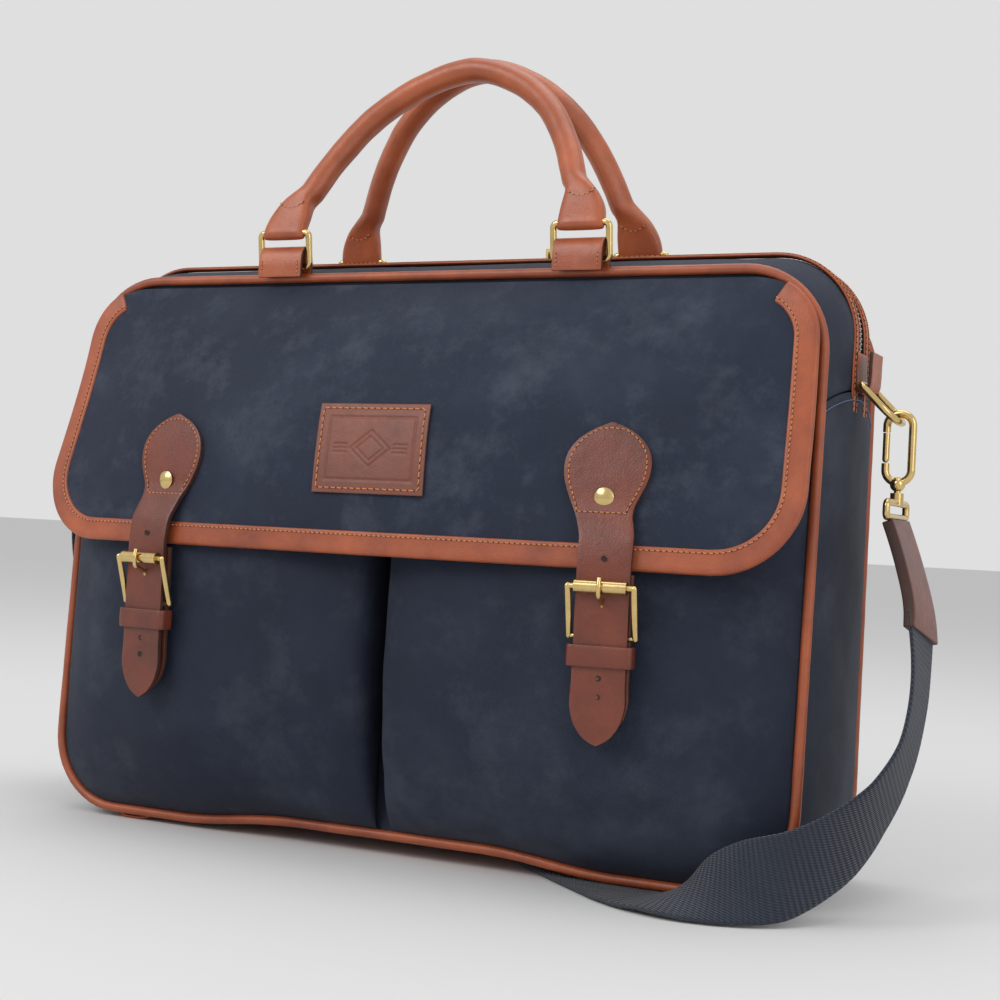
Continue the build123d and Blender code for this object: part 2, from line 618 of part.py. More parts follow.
def hook_eye():
    """Swivel eye below the hook: a wide bar that the strap folds round."""
    x, bar_z = hook_spot()
    low = bar_z + RING_WIRE_R + 0.6 + HOOK_WIRE_R - HOOK_TALL
    spots = [(x, SIDE_Y - 21, low - EYE_DROP), (x, SIDE_Y + 21, low - EYE_DROP),
             (x, SIDE_Y + 21, low - 10.0), (x, SIDE_Y - 21, low - 10.0)]
    eye = wire_loop(spots, [2.4] * 4, RING_WIRE_R)
    collar = rod((x, SIDE_Y, low - 11.0), (x, SIDE_Y, low - 5.2), 3.2)
    collar -= rod((x, SIDE_Y, low - 7.6), (x, SIDE_Y, low - 4), 1.7)
    return eye + collar


# ---------------------------------------------------------------- shoulder strap
def ribbon(stations, thickness):
    """Flat band through stations of (middle, across), as one solid with flat facets."""
    sections = []
    for i, (middle, across) in enumerate(stations):
        before = Vector(*stations[max(i - 1, 0)][0])
        after = Vector(*stations[min(i + 1, len(stations) - 1)][0])
        along = (after - before).normalized()
        across = Vector(*across)
        across = (across - along * across.dot(along)).normalized() * (WEB_W / 2)
        out = along.cross(across).normalized() * (thickness / 2)
        middle = Vector(*middle)
        sections.append([middle + across + out, middle - across + out,
                         middle - across - out, middle + across - out])
    facets = [sections[0], sections[-1]]
    for near, far in zip(sections, sections[1:]):
        # both broad faces are split along the same diagonal, so that a twist keeps them apart
        for k in range(4):
            after = (k + 1) % 4
            if k == 2:
                facets.append([near[k], near[after], far[k]])
                facets.append([near[after], far[after], far[k]])
            else:
                facets.append([near[k], near[after], far[after]])
                facets.append([near[k], far[after], far[k]])
    return Solid(Shell([make_face(Polyline(*facet, close=True)).face() for facet in facets]))


def strap_end_tab():
    """Leather sewn over the webbing's end and round the hook's eye."""
    x, bar_z = hook_spot()
    eye_z = bar_z + RING_WIRE_R + 0.6 + HOOK_WIRE_R - HOOK_TALL - EYE_DROP
    end, across = STRAP_ROUTE[0]
    stations = [((x, SIDE_Y, eye_z - 2.0), (0, -1, 0)), ((246, 27.5, 160), (-0.05, -0.99, 0.08)),
                (end, across)]
    tab = ribbon(stations, TAB_LEATHER_T)
    reach = RING_WIRE_R + 0.25
    tab += rod((x, SIDE_Y - WEB_W / 2 + 1, eye_z), (x, SIDE_Y + WEB_W / 2 - 1, eye_z), reach + 2.0)
    return tab - rod((x, SIDE_Y - 30, eye_z), (x, SIDE_Y + 30, eye_z), reach)


def doubled_end():
    """Stations beside the last part of the route, on its outer side."""
    stations = []
    for i in range(RETURN_FROM, RETURN_TO):
        middle, across = STRAP_ROUTE[i]
        before, after = Vector(*STRAP_ROUTE[i - 1][0]), Vector(*STRAP_ROUTE[i + 1][0])
        out = (after - before).cross(Vector(*across)).normalized()
        spot = Vector(*middle) - out * RETURN_GAP
        stations.append(((spot.X, spot.Y, spot.Z), across))
    return stations + [RETURN_TOP]


def strap_slider(station_index):
    """Three-bar brass slider round the webbing where its doubled end stops."""
    middle, across = (Vector(*part) for part in STRAP_ROUTE[station_index])
    along = Vector(*STRAP_ROUTE[station_index + 1][0]) - Vector(*STRAP_ROUTE[station_index - 1][0])
    out = along.cross(across).normalized()
    spot = Plane(origin=middle - out * (RETURN_GAP + 3.2), x_dir=across.normalized(), z_dir=out)
    frame = RectangleRounded(48, 24, 4) - Pos(0, 6.2) * RectangleRounded(40, 7.0, 2)
    frame -= Pos(0, -6.2) * RectangleRounded(40, 7.0, 2)
    return extrude(spot * frame, amount=1.2, both=True)


# ---------------------------------------------------------------- assembly
def make_all():
    nodes = make_body()
    nodes.update(make_pockets())
    nodes.update(make_flap())
    for side in (-1, 1):
        nodes.update(make_closure(side))
    nodes["snap_sockets"] = snap_socket(-1) + snap_socket(1)
    nodes["strap_tabs"] = strap_tab(-1) + strap_tab(1)
    nodes["strap_rivets"] = strap_rivet(-1) + strap_rivet(1)
    nodes.update(make_handles())
    for name, x in (("left", 50.0), ("right", 61.5)):
        nodes[f"zip_slider_{name}"] = zip_slider(x)
        nodes[f"zip_pull_{name}"] = zip_pull(x)
    loop = side_loop()
    nodes["side_loops"] = loop + mirrored(loop) - nodes["zip_edgings"]
    nodes["lining"] -= nodes["zip_tapes"]
    for key, shape in (("side_ring", side_ring()), ("snap_hook", snap_hook()),
                       ("hook_gate", hook_gate()), ("hook_eye", hook_eye())):
        nodes[f"{key}_right"] = shape
        nodes[f"{key}_left"] = mirrored(shape)
    nodes["strap_end_tab"] = strap_end_tab()
    nodes["strap_webbing"] = ribbon(STRAP_ROUTE, WEB_T)
    nodes["strap_webbing_end"] = ribbon(doubled_end(), WEB_T)
    nodes["strap_slider"] = strap_slider(RETURN_FROM)
    return nodes


for node, solid in make_all().items():
    export_step(solid, f"parts/{node}.step")
    print(node)
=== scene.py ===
"""Looks of the canvas messenger bag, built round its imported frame.

Shapes are worked out in millimetres in the part's own frame and turned into metres when a mesh
is made. +X runs along the bag, -Y is the flap side and +Z is up.
"""
import math

import bpy
import numpy as np
from mathutils import Matrix, Vector, noise


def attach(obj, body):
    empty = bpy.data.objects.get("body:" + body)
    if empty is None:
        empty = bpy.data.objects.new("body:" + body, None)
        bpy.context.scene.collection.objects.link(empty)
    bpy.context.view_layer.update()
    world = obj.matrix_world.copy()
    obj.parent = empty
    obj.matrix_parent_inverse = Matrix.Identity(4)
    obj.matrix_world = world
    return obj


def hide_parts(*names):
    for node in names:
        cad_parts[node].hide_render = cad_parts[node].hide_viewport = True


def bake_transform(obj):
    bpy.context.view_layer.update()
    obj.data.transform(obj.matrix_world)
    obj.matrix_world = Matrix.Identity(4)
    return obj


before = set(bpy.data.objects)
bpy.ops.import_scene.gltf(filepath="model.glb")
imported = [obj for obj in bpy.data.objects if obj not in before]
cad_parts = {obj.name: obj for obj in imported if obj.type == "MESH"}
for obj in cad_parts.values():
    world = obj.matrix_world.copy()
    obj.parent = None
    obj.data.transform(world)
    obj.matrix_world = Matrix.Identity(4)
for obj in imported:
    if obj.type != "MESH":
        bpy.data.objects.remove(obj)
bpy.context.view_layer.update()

# ---------------------------------------------------------------- sizes, in millimetres
MM = 0.001
HALF_W, TOP_Z, BOTTOM_Z = 211.0, 297.5, 5.0
CORNER_R = 40.0
ARCH_RISE, ARCH_END_X, ARCH_TOP_X = 5.5, 125.0, 55.0
FRONT_FOOT_Y, FRONT_TOP_Y, REAR_Y, CREST_Y = -30.5, -15.5, 76.0, 30.0
TOP_DOME, SIDE_DOME = 12.0, 5.0
PIPING_R = 2.5
HEM_Z = 234.0

FLAP_TOP_Z, FLAP_LOW_Z = 293.5, 153.0
FLAP_TOP_HALF, FLAP_LOW_HALF = 208.0, 214.0
# height, depth of the side edge, extra bulge of the middle
FLAP_PROFILE = [
    (293.5, -18.3, 0.0), (275.0, -21.5, 13.0), (250.0, -26.5, 23.0), (226.0, -32.8, 27.5),
    (204.0, -39.5, 26.0), (182.0, -46.0, 22.5), (166.0, -50.0, 20.0), (150.0, -53.5, 17.5),
]

POCKET_DEPTH, POCKET_TOP_Z = 38.5, 205.0
CLOSURE_X, CLOSURE_Y, CLOSURE_YAW, BAR_Z = 127.0, -62.3, 8.0, 121.0
TAB_X, TAB_YAW = 123.0, 8.0
FOLD_Z = 174.0

LOOP_X, LOOP_W = 86.5, 25.0
RING_BAR_Z, RING_HIGH = 303.2, 18.4
# name, depth of the rings' lower bars, lean of the rings and of the handle, side of the flange
HANDLE_ROWS = [("front", -17.5, -8.0, 24.0, 1.0), ("rear", 71.0, -28.0, -13.5, -1.0)]
HANDLE_R = 7.0
HANDLE_CURVE = [(77.5, 25.0), (68.0, 48.0), (50.0, 75.5), (28.0, 93.0), (0.0, 102.0)]

WEB_W, WEB_T = 38.0, 2.0
# the shoulder strap's route, in metres, and the direction across the webbing at each point
STRAP_ROUTE = [
    ((0.252, 0.025, 0.136), (-0.10, -0.97, 0.15)),
    ((0.255, 0.019, 0.115), (-0.03, -0.96, 0.28)),
    ((0.256, 0.009, 0.092), (0.02, -0.92, 0.40)),
    ((0.254, -0.003, 0.070), (0.05, -0.85, 0.52)),
    ((0.246, -0.018, 0.050), (0.00, -0.74, 0.67)),
    ((0.235, -0.034, 0.035), (-0.14, -0.52, 0.84)),
    ((0.223, -0.048, 0.026), (-0.17, -0.28, 0.94)),
    ((0.212, -0.059, 0.021), (-0.05, 0.10, 0.99)),
    ((0.197, -0.062, 0.018), (0.14, 0.42, 0.90)),
    ((0.176, -0.062, 0.012), (0.20, 0.70, 0.58)),
    ((0.158, -0.057, 0.005), (0.45, 0.85, 0.18)),
    ((0.142, -0.049, 0.0014), (0.50, 0.86, 0.0)),
    ((0.124, -0.034, 0.0013), (0.52, 0.85, 0.0)),
    ((0.100, -0.014, 0.0013), (0.56, 0.83, 0.0)),
    ((0.076, 0.008, 0.0013), (0.68, 0.73, 0.0)),
    ((0.056, 0.032, 0.0013), (0.80, 0.60, 0.0)),
    ((0.042, 0.058, 0.0013), (0.88, 0.47, 0.0)),
    ((0.032, 0.084, 0.0014), (0.93, 0.32, 0.0)),
    ((0.022, 0.100, 0.007), (0.80, 0.50, 0.20)),
    ((0.002, 0.109, 0.0165), (0.50, 0.16, 0.80)),
    ((-0.024, 0.106, 0.0194), (0.04, 0.02, 1.0)),
    ((-0.060, 0.097, 0.0194), (0.0, 0.0, 1.0)),
    ((-0.100, 0.092, 0.0194), (0.0, 0.0, 1.0)),
    ((-0.140, 0.092, 0.020), (-0.02, 0.0, 1.0)),
    ((-0.178, 0.095, 0.024), (-0.14, 0.06, 0.98)),
    ((-0.210, 0.095, 0.036), (-0.36, 0.22, 0.90)),
    ((-0.234, 0.086, 0.056), (-0.44, 0.48, 0.75)),
    ((-0.247, 0.071, 0.082), (-0.30, 0.74, 0.60)),
    ((-0.252, 0.053, 0.110), (-0.14, 0.88, 0.45)),
    ((-0.250, 0.038, 0.138), (-0.04, 0.96, 0.28)),
    ((-0.246, 0.030, 0.162), (0.0, 0.99, 0.10)),
    ((-0.2418, 0.028, 0.1825), (0.0, 1.0, 0.0)),
    ((-0.240, 0.028, 0.1862), (0.0, 1.0, 0.0)),
    ((-0.2373, 0.028, 0.187), (0.0, 1.0, 0.0)),
]
RETURN_FROM, RETURN_TO, RETURN_GAP = 25, 31, 0.0054
RETURN_TOP = ((-0.2338, 0.028, 0.184), (0.0, 1.0, 0.0))


# ---------------------------------------------------------------- camera and light
def make_camera():
    """Camera a little right of the bag and about half its height above the floor."""
    azimuth, tilt, roll = math.radians(25.686), math.radians(1.212), math.radians(2.979)
    ahead = Vector((-math.sin(azimuth) * math.cos(tilt), math.cos(azimuth) * math.cos(tilt),
                    math.sin(tilt)))
    right = ahead.cross(Vector((0, 0, 1))).normalized()
    up = right.cross(ahead)
    turned_right = right * math.cos(roll) + up * math.sin(roll)
    turned_up = up * math.cos(roll) - right * math.sin(roll)
    camera = bpy.data.objects.new("camera", bpy.data.cameras.new("camera"))
    bpy.context.scene.collection.objects.link(camera)
    camera.data.lens = 61.1
    camera.data.sensor_width = 36.0
    turn = Matrix((turned_right, turned_up, -ahead)).transposed().to_4x4()
    camera.matrix_world = Matrix.Translation((0.4188, -0.78685, 0.1648)) @ turn
    bpy.context.scene.camera = camera


def area_light(name, place, target, size, power, colour=(1, 1, 1)):
    light = bpy.data.lights.new(name, "AREA")
    light.shape, light.size, light.size_y = "RECTANGLE", size[0], size[1]
    light.energy, light.color = power, colour
    lamp = bpy.data.objects.new(name, light)
    bpy.context.scene.collection.objects.link(lamp)
    lamp.location = place
    lamp.rotation_euler = (Vector(target) - Vector(place)).to_track_quat("-Z", "Y").to_euler()


def make_stage():
    world = bpy.data.worlds.new("studio")
    bpy.context.scene.world = world
    world.use_nodes = True
    background = world.node_tree.nodes["Background"]
    background.inputs["Color"].default_value = (0.90, 0.90, 0.90, 1)
    background.inputs["Strength"].default_value = 0.82
    bpy.context.scene.view_settings.view_transform = "Standard"
    area_light("key", (-1.1, -1.9, 1.7), (0, 0, 0.15), (1.6, 1.2), 27)
    area_light("right", (1.9, -0.9, 0.9), (0.1, 0, 0.15), (1.0, 1.4), 8)
    area_light("top", (0.1, 0.3, 1.9), (0, 0, 0.2), (1.6, 1.2), 10)
    mesh = bpy.data.meshes.new("floor")
    far = 30.0
    mesh.from_pydata([(-far, -far, 0), (far, -far, 0), (far, far, 0), (-far, far, 0)], [],
                     [(0, 1, 2, 3)])
    floor = bpy.data.objects.new("floor", mesh)
    bpy.context.scene.collection.objects.link(floor)
    material, shader = new_material("pale_floor")
    set_shader(shader, (0.66, 0.66, 0.66), 0.9)
    mesh.materials.append(material)


# ---------------------------------------------------------------- materials
def new_material(name):
    material = bpy.data.materials.new(name)
    material.use_nodes = True
    return material, material.node_tree.nodes["Principled BSDF"]


def set_shader(shader, colour, roughness, metallic=0.0, specular=0.5):
    shader.inputs["Base Color"].default_value = (*colour, 1)
    shader.inputs["Roughness"].default_value = roughness
    shader.inputs["Metallic"].default_value = metallic
    shader.inputs["Specular IOR Level"].default_value = specular


class Nodes:
    """Short way of adding and joining shader nodes."""

    def __init__(self, material):
        self.tree = material.node_tree

    def add(self, kind, settings=None, **inputs):
        node = self.tree.nodes.new(kind)
        for key, value in (settings or {}).items():
            setattr(node, key, value)
        for key, value in inputs.items():
            self.set(node, key.replace("_", " "), value)
        return node

    def set(self, node, socket, value):
        if isinstance(value, bpy.types.NodeSocket):
            self.tree.links.new(value, node.inputs[socket])
        else:
            node.inputs[socket].default_value = value

    def noise(self, coords, scale, detail=3.0, rough=0.55):
        node = self.add("ShaderNodeTexNoise", Vector=coords, Scale=scale, Detail=detail,
                        Roughness=rough)
        return node.outputs["Fac"]

    def ramp(self, factor, stops):
        node = self.add("ShaderNodeValToRGB", Fac=factor)
        ramp = node.color_ramp
        while len(ramp.elements) < len(stops):
            ramp.elements.new(0.5)
        for element, (place, colour) in zip(ramp.elements, stops):
            element.position = place
            element.color = (*colour, 1)
        return node.outputs["Color"]

    def mix(self, factor, a, b, blend="MIX"):
        node = self.tree.nodes.new("ShaderNodeMix")
        node.data_type, node.blend_type = "RGBA", blend
        for socket, value in ((node.inputs[0], factor), (node.inputs[6], a), (node.inputs[7], b)):
            if isinstance(value, bpy.types.NodeSocket):
                self.tree.links.new(value, socket)
            else:
                socket.default_value = value if isinstance(value, float) else (*value, 1)
        return node.outputs[2]

    def math(self, operation, a, b=0.0):
        node = self.tree.nodes.new("ShaderNodeMath")
        node.operation = operation
        for socket, value in zip(node.inputs, (a, b)):
            if isinstance(value, bpy.types.NodeSocket):
                self.tree.links.new(value, socket)
            else:
                socket.default_value = value
        return node.outputs[0]

    def bump(self, height, strength, distance, normal=None):
        node = self.add("ShaderNodeBump", Height=height, Strength=strength, Distance=distance)
        if normal is not None:
            self.tree.links.new(normal, node.inputs["Normal"])
        return node.outputs["Normal"]


def threads(nodes, pitch, twill=0.0):
    """Height of a plain weave whose threads are pitch apart, on the piece's own UV in metres."""
    uv = nodes.add("ShaderNodeTexCoord").outputs["UV"]
    parts = nodes.add("ShaderNodeSeparateXYZ", Vector=uv)
    turn = 2 * math.pi / pitch
    across = nodes.math("MULTIPLY", parts.outputs[0], turn)
    along = nodes.math("MULTIPLY", parts.outputs[1], turn)
    if twill:
        along = nodes.math("ADD", along, nodes.math("MULTIPLY", across, twill))
    return nodes.math("MULTIPLY", nodes.math("SINE", across), nodes.math("SINE", along))


def canvas_material(name, shade=1.0, rubbed=1.0):
    """Waxed cotton: mottled navy with paler rubbed places and a fine plain weave."""
    material, shader = new_material(name)
    nodes = Nodes(material)
    place = nodes.add("ShaderNodeTexCoord").outputs["Object"]
    deep = tuple(shade * c for c in (0.0105, 0.0165, 0.037))
    middle = tuple(shade * c for c in (0.0215, 0.0300, 0.058))
    pale = tuple(shade * c for c in (0.058, 0.072, 0.108))
    cloud = nodes.noise(place, 9.0, 6.0, 0.62)
    base = nodes.ramp(cloud, [(0.30, deep), (0.52, middle), (0.78, pale)])
    specks = nodes.noise(place, 170.0, 5.0, 0.7)
    base = nodes.mix(nodes.math("MULTIPLY", specks, 0.42), base, tuple(c * 0.45 for c in deep))
    patches = nodes.noise(place, 26.0, 7.0, 0.72)
    rub = nodes.math("MULTIPLY", nodes.math("MAXIMUM", nodes.math("SUBTRACT", patches, 0.50), 0.0),
                     1.1 * rubbed)
    base = nodes.mix(rub, base, tuple(shade * c for c in (0.12, 0.14, 0.18)))
    weave = threads(nodes, 0.0011)
    base = nodes.mix(nodes.math("ADD", 0.05, nodes.math("MULTIPLY", weave, 0.05)), base,
                     tuple(shade * c for c in (0.085, 0.10, 0.14)))
    nodes.set(shader, "Base Color", base)
    nodes.set(shader, "Roughness", nodes.math("ADD", 0.60, nodes.math("MULTIPLY", cloud, 0.22)))
    shader.inputs["Specular IOR Level"].default_value = 0.22
    shader.inputs["Sheen Weight"].default_value = 0.03
    shader.inputs["Sheen Roughness"].default_value = 0.5
    soft = nodes.bump(nodes.noise(place, 60.0, 4.0, 0.6), 0.35, 0.0012)
    cloth = nodes.bump(nodes.noise(place, 700.0, 3.0, 0.7), 0.35, 0.0003, soft)
    nodes.set(shader, "Normal", nodes.bump(weave, 0.35, 0.0002, cloth))
    return material


def leather_material(name, colour, dark, roughness=0.42, grain=1.0):
    """Waxy pull-up leather: cloudy colour, fine cell grain, soft shine."""
    material, shader = new_material(name)
    nodes = Nodes(material)
    place = nodes.add("ShaderNodeTexCoord").outputs["Object"]
    cloud = nodes.noise(place, 28.0, 5.0, 0.6)
    base = nodes.ramp(cloud, [(0.28, dark), (0.60, colour),
                              (0.82, tuple(min(1.0, c * 1.28) for c in colour))])
    marks = nodes.noise(place, 240.0, 4.0, 0.75)
    base = nodes.mix(nodes.math("MULTIPLY", marks, 0.38), base, tuple(c * 0.55 for c in dark))
    nodes.set(shader, "Base Color", base)
    nodes.set(shader, "Roughness", nodes.math("ADD", roughness - 0.10,
                                              nodes.math("MULTIPLY", marks, 0.22)))
    shader.inputs["Specular IOR Level"].default_value = 0.5
    shader.inputs["Coat Weight"].default_value = 0.10
    shader.inputs["Coat Roughness"].default_value = 0.35
    cells = nodes.add("ShaderNodeTexVoronoi", {"feature": "DISTANCE_TO_EDGE"}, Vector=place,
                      Scale=780.0)
    pores = nodes.bump(cells.outputs["Distance"], 0.30 * grain, 0.0004)
    nodes.set(shader, "Normal", nodes.bump(nodes.noise(place, 130.0, 4.0, 0.6), 0.30 * grain,
                                           0.0008, pores))
    return material


def metal_material(name, colour, roughness, smudge=0.12):
    material, shader = new_material(name)
    nodes = Nodes(material)
    place = nodes.add("ShaderNodeTexCoord").outputs["Object"]
    marks = nodes.noise(place, 160.0, 5.0, 0.65)
    base = nodes.ramp(marks, [(0.3, tuple(c * 0.82 for c in colour)), (0.7, colour)])
    nodes.set(shader, "Base Color", base)
    shader.inputs["Metallic"].default_value = 1.0
    nodes.set(shader, "Roughness", nodes.math("ADD", roughness - smudge / 2,
                                              nodes.math("MULTIPLY", marks, smudge)))
    nodes.set(shader, "Normal", nodes.bump(marks, 0.05, 0.0004))
    return material


def cord_material(name, colour, pitch=0.0007):
    """Twisted thread: slanting ridges along each stitch."""
    material, shader = new_material(name)
    nodes = Nodes(material)
    place = nodes.add("ShaderNodeTexCoord").outputs["Object"]
    tone = nodes.noise(place, 900.0, 2.0, 0.6)
    nodes.set(shader, "Base Color", nodes.ramp(tone, [(0.3, tuple(c * 0.65 for c in colour)),
                                                      (0.7, colour)]))
    wave = nodes.add("ShaderNodeTexWave", {"bands_direction": "DIAGONAL"}, Vector=place,
                     Scale=0.3 / pitch)
    nodes.set(shader, "Normal", nodes.bump(wave.outputs["Fac"], 0.4, 0.0002))
    shader.inputs["Roughness"].default_value = 0.7
    return material


def webbing_material(name):
    """Heavy cotton webbing with a coarse basket weave and fuzzy edges."""
    material, shader = new_material(name)
    nodes = Nodes(material)
    place = nodes.add("ShaderNodeTexCoord").outputs["Object"]
    weave = threads(nodes, 0.0026, twill=1.0)
    cloud = nodes.noise(place, 22.0, 5.0, 0.6)
    base = nodes.ramp(cloud, [(0.3, (0.010, 0.014, 0.027)), (0.7, (0.022, 0.029, 0.048))])
    base = nodes.mix(nodes.math("ADD", 0.15, nodes.math("MULTIPLY", weave, 0.35)), base,
                     (0.050, 0.060, 0.085))
    nodes.set(shader, "Base Color", base)
    shader.inputs["Roughness"].default_value = 0.8
    shader.inputs["Specular IOR Level"].default_value = 0.25
    shader.inputs["Sheen Weight"].default_value = 0.2
    fuzz = nodes.bump(nodes.noise(place, 900.0, 3.0, 0.7), 0.4, 0.0003)
    nodes.set(shader, "Normal", nodes.bump(weave, 0.8, 0.0006, fuzz))
    return material


make_camera()
make_stage()

CANVAS = canvas_material("waxed_canvas", 0.72)
CANVAS_FLAP = canvas_material("waxed_canvas_rubbed", 0.80, 1.5)
TAN = leather_material("tan_leather", (0.40, 0.088, 0.026), (0.21, 0.040, 0.014))
HANDLE_TAN = leather_material("handle_leather", (0.46, 0.110, 0.034), (0.25, 0.050, 0.016), 0.36)
BROWN = leather_material("brown_leather", (0.185, 0.036, 0.015), (0.090, 0.018, 0.009), 0.40, 1.3)
PATCH = leather_material("patch_leather", (0.20, 0.047, 0.021), (0.110, 0.027, 0.014), 0.50)
EDGE = leather_material("leather_edge", (0.070, 0.022, 0.012), (0.030, 0.012, 0.008), 0.60)
THREAD = cord_material("thread", (0.62, 0.22, 0.075))
BLUE_THREAD = cord_material("blue_thread", (0.16, 0.24, 0.42))
# Near-black leather for needle holes and strap holes: painted shade for the dark inside of a hole.
HOLE_SHADE = leather_material("stitch_hole", (0.020, 0.009, 0.006), (0.010, 0.005, 0.004), 0.8)
BRASS = metal_material("brass", (0.74, 0.54, 0.23), 0.22)
STEEL = metal_material("zip_steel", (0.62, 0.62, 0.60), 0.30)
WEBBING = webbing_material("webbing")
LINING = canvas_material("lining_cloth", 2.2, 0.4)
TAPE = webbing_material("zip_tape")


# ---------------------------------------------------------------- shapes and meshes
def smooth(table, value, column=1):
    """Reading of a column against the table's first one, along a curve without corners."""
    rows = np.array(table, float)
    rows = rows[np.argsort(rows[:, 0], kind="stable")]
    x, y = rows[:, 0], rows[:, column]
    slope = np.gradient(y, x)
    k = np.clip(np.searchsorted(x, value) - 1, 0, len(x) - 2)
    span = x[k + 1] - x[k]
    t = np.clip((value - x[k]) / span, 0.0, 1.0)
    return ((1 + 2 * t) * (1 - t) ** 2 * y[k] + t * (1 - t) ** 2 * span * slope[k]
            + t * t * (3 - 2 * t) * y[k + 1] + t * t * (t - 1) * span * slope[k + 1])


def reader(table, column=1):
    """The same curve as a quick function of its first column."""
    low, high = min(row[0] for row in table), max(row[0] for row in table)
    fine = np.linspace(low, high, 600)
    values = np.array([smooth(table, value, column) for value in fine])
    return lambda value: float(np.interp(value, fine, values))


def spline(points, count):
    """Evenly spaced points on a smooth curve through the given ones."""
    points = np.array(points, float)
    steps = np.r_[0, np.cumsum(np.linalg.norm(np.diff(points, axis=0), axis=1))]
    fine = np.linspace(0, steps[-1], count * 8)
    curve = np.array([[smooth(np.c_[steps, points[:, i]], s) for i in range(points.shape[1])]
                      for s in fine])
    return even(curve, count)


def even(curve, count):
    """The same line with its points spaced evenly."""
    curve = np.array(curve, float)
    steps = np.r_[0, np.cumsum(np.linalg.norm(np.diff(curve, axis=0), axis=1))]
    places = np.linspace(0, steps[-1], count)
    return np.stack([np.interp(places, steps, curve[:, i]) for i in range(curve.shape[1])], 1)


def front_y(z):
    return FRONT_FOOT_Y + (z - BOTTOM_Z) / (TOP_Z - BOTTOM_Z) * (FRONT_TOP_Y - FRONT_FOOT_Y)


def bottom_lift(x):
    t = np.clip((ARCH_END_X - np.abs(x)) / (ARCH_END_X - ARCH_TOP_X), 0, 1)
    return ARCH_RISE * t * t * (3 - 2 * t)


def body_loop(widen=0.0, raise_top=0.0, inset=0.0, start_low=True):
    """Points (x, z) round the body's outline, from the middle of the bottom or of the top."""
    half, low, high = HALF_W + widen - inset, BOTTOM_Z + inset, TOP_Z + raise_top - inset
    radius = CORNER_R - inset
    spots = []
    for x0, z0, x1, z1, count in (
            (0, low, half - radius, low, 34), (half, low + radius, half, high - radius, 44),
            (half - radius, high, radius - half, high, 68),
            (-half, high - radius, -half, low + radius, 44), (radius - half, low, 0, low, 34)):
        if spots:
            cx = (half - radius) * (1 if spots[-1][0] + x0 > 0 else -1)
            cz = low + radius if spots[-1][1] + z0 < low + high else high - radius
            a0 = math.atan2(spots[-1][1] - cz, spots[-1][0] - cx)
            turn = [a0 + math.pi / 2 * k / 12 for k in range(1, 12)]
            spots += [(cx + radius * math.cos(a), cz + radius * math.sin(a)) for a in turn]
        share = np.linspace(0, 1, count)
        spots += [(x0 + (x1 - x0) * t, z0 + (z1 - z0) * t) for t in share]
    loop = np.array(spots[:-1])
    low_part = np.clip((BOTTOM_Z + 20 - loop[:, 1]) / 20, 0, 1)
    loop[:, 1] += bottom_lift(loop[:, 0]) * low_part
    if not start_low:
        loop = np.roll(loop, -len(loop) // 2, axis=0)
    return loop


def ripple(point, size, seed):
    """Smooth bumps about size across, from -1 to 1."""
    return noise.noise(Vector(point) / size + Vector((seed * 7.3, seed * 3.1, seed * 5.7)))


def link(name, mesh, material, body, replaced=()):
    piece = bpy.data.objects.new(name, mesh)
    bpy.context.scene.collection.objects.link(piece)
    for each in material if isinstance(material, (list, tuple)) else [material]:
        mesh.materials.append(each)
    if body:
        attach(piece, body)
    if replaced:
        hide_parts(*replaced)
    return piece


def make_mesh(name, points, faces, uvs=None):
    mesh = bpy.data.meshes.new(name)
    mesh.from_pydata([tuple(float(c) * MM for c in p) for p in points], [], faces)
    mesh.polygons.foreach_set("use_smooth", [True] * len(mesh.polygons))
    if uvs is not None:
        layer = mesh.uv_layers.new(name="cloth")
        for corner, vertex in enumerate(v for face in faces for v in face):
            layer.data[corner].uv = uvs[vertex]
    mesh.validate()
    mesh.update()
    return mesh


def grid_mesh(name, rows, close_rows=False, close_columns=False, caps=False):
    """Sheet through a table of points. UVs are distances along the sheet, in metres."""
    rows = np.array(rows, float)
    tall, wide = rows.shape[:2]
    index = np.arange(tall * wide).reshape(tall, wide)
    faces = []
    for i in range(tall if close_rows else tall - 1):
        for j in range(wide if close_columns else wide - 1):
            k, m = (i + 1) % tall, (j + 1) % wide
            faces.append((int(index[i, j]), int(index[i, m]), int(index[k, m]), int(index[k, j])))
    if caps:
        faces.append(tuple(int(v) for v in index[0][::-1]))
        faces.append(tuple(int(v) for v in index[-1]))
    across = np.r_[0, np.cumsum(np.linalg.norm(np.diff(rows[tall // 2], axis=0), axis=1))]
    along = np.r_[0, np.cumsum(np.linalg.norm(np.diff(rows[:, wide // 2], axis=0), axis=1))]
    uvs = [(across[j] * MM, along[i] * MM) for i in range(tall) for j in range(wide)]
    return make_mesh(name, rows.reshape(-1, 3), faces, uvs)


def thicken(piece, thickness, offset=-1.0, rim=0, smooth_level=1, bevel=0.0):
    solid = piece.modifiers.new("thickness", "SOLIDIFY")
    solid.thickness, solid.offset = thickness * MM, offset
    solid.material_offset_rim = rim
    if bevel:
        soften(piece, bevel)
    if smooth_level:
        round_off = piece.modifiers.new("smooth", "SUBSURF")
        round_off.levels = round_off.render_levels = smooth_level


def soften(piece, width, segments=2):
    bevel = piece.modifiers.new("soft_edges", "BEVEL")
    bevel.width, bevel.segments = width * MM, segments
    bevel.limit_method, bevel.angle_limit = "ANGLE", math.radians(40)
    bevel.harden_normals = False


def frames_along(path, up):
    """Directions along, out (nearest to up) and across at each point of a path."""
    path = np.array(path, float)
    along = np.gradient(path, axis=0)
    along /= np.linalg.norm(along, axis=1)[:, None]
    up = np.broadcast_to(np.array(up, float), path.shape)
    out = up - along * np.sum(up * along, axis=1)[:, None]
    out /= np.linalg.norm(out, axis=1)[:, None]
    return along, out, np.cross(along, out)


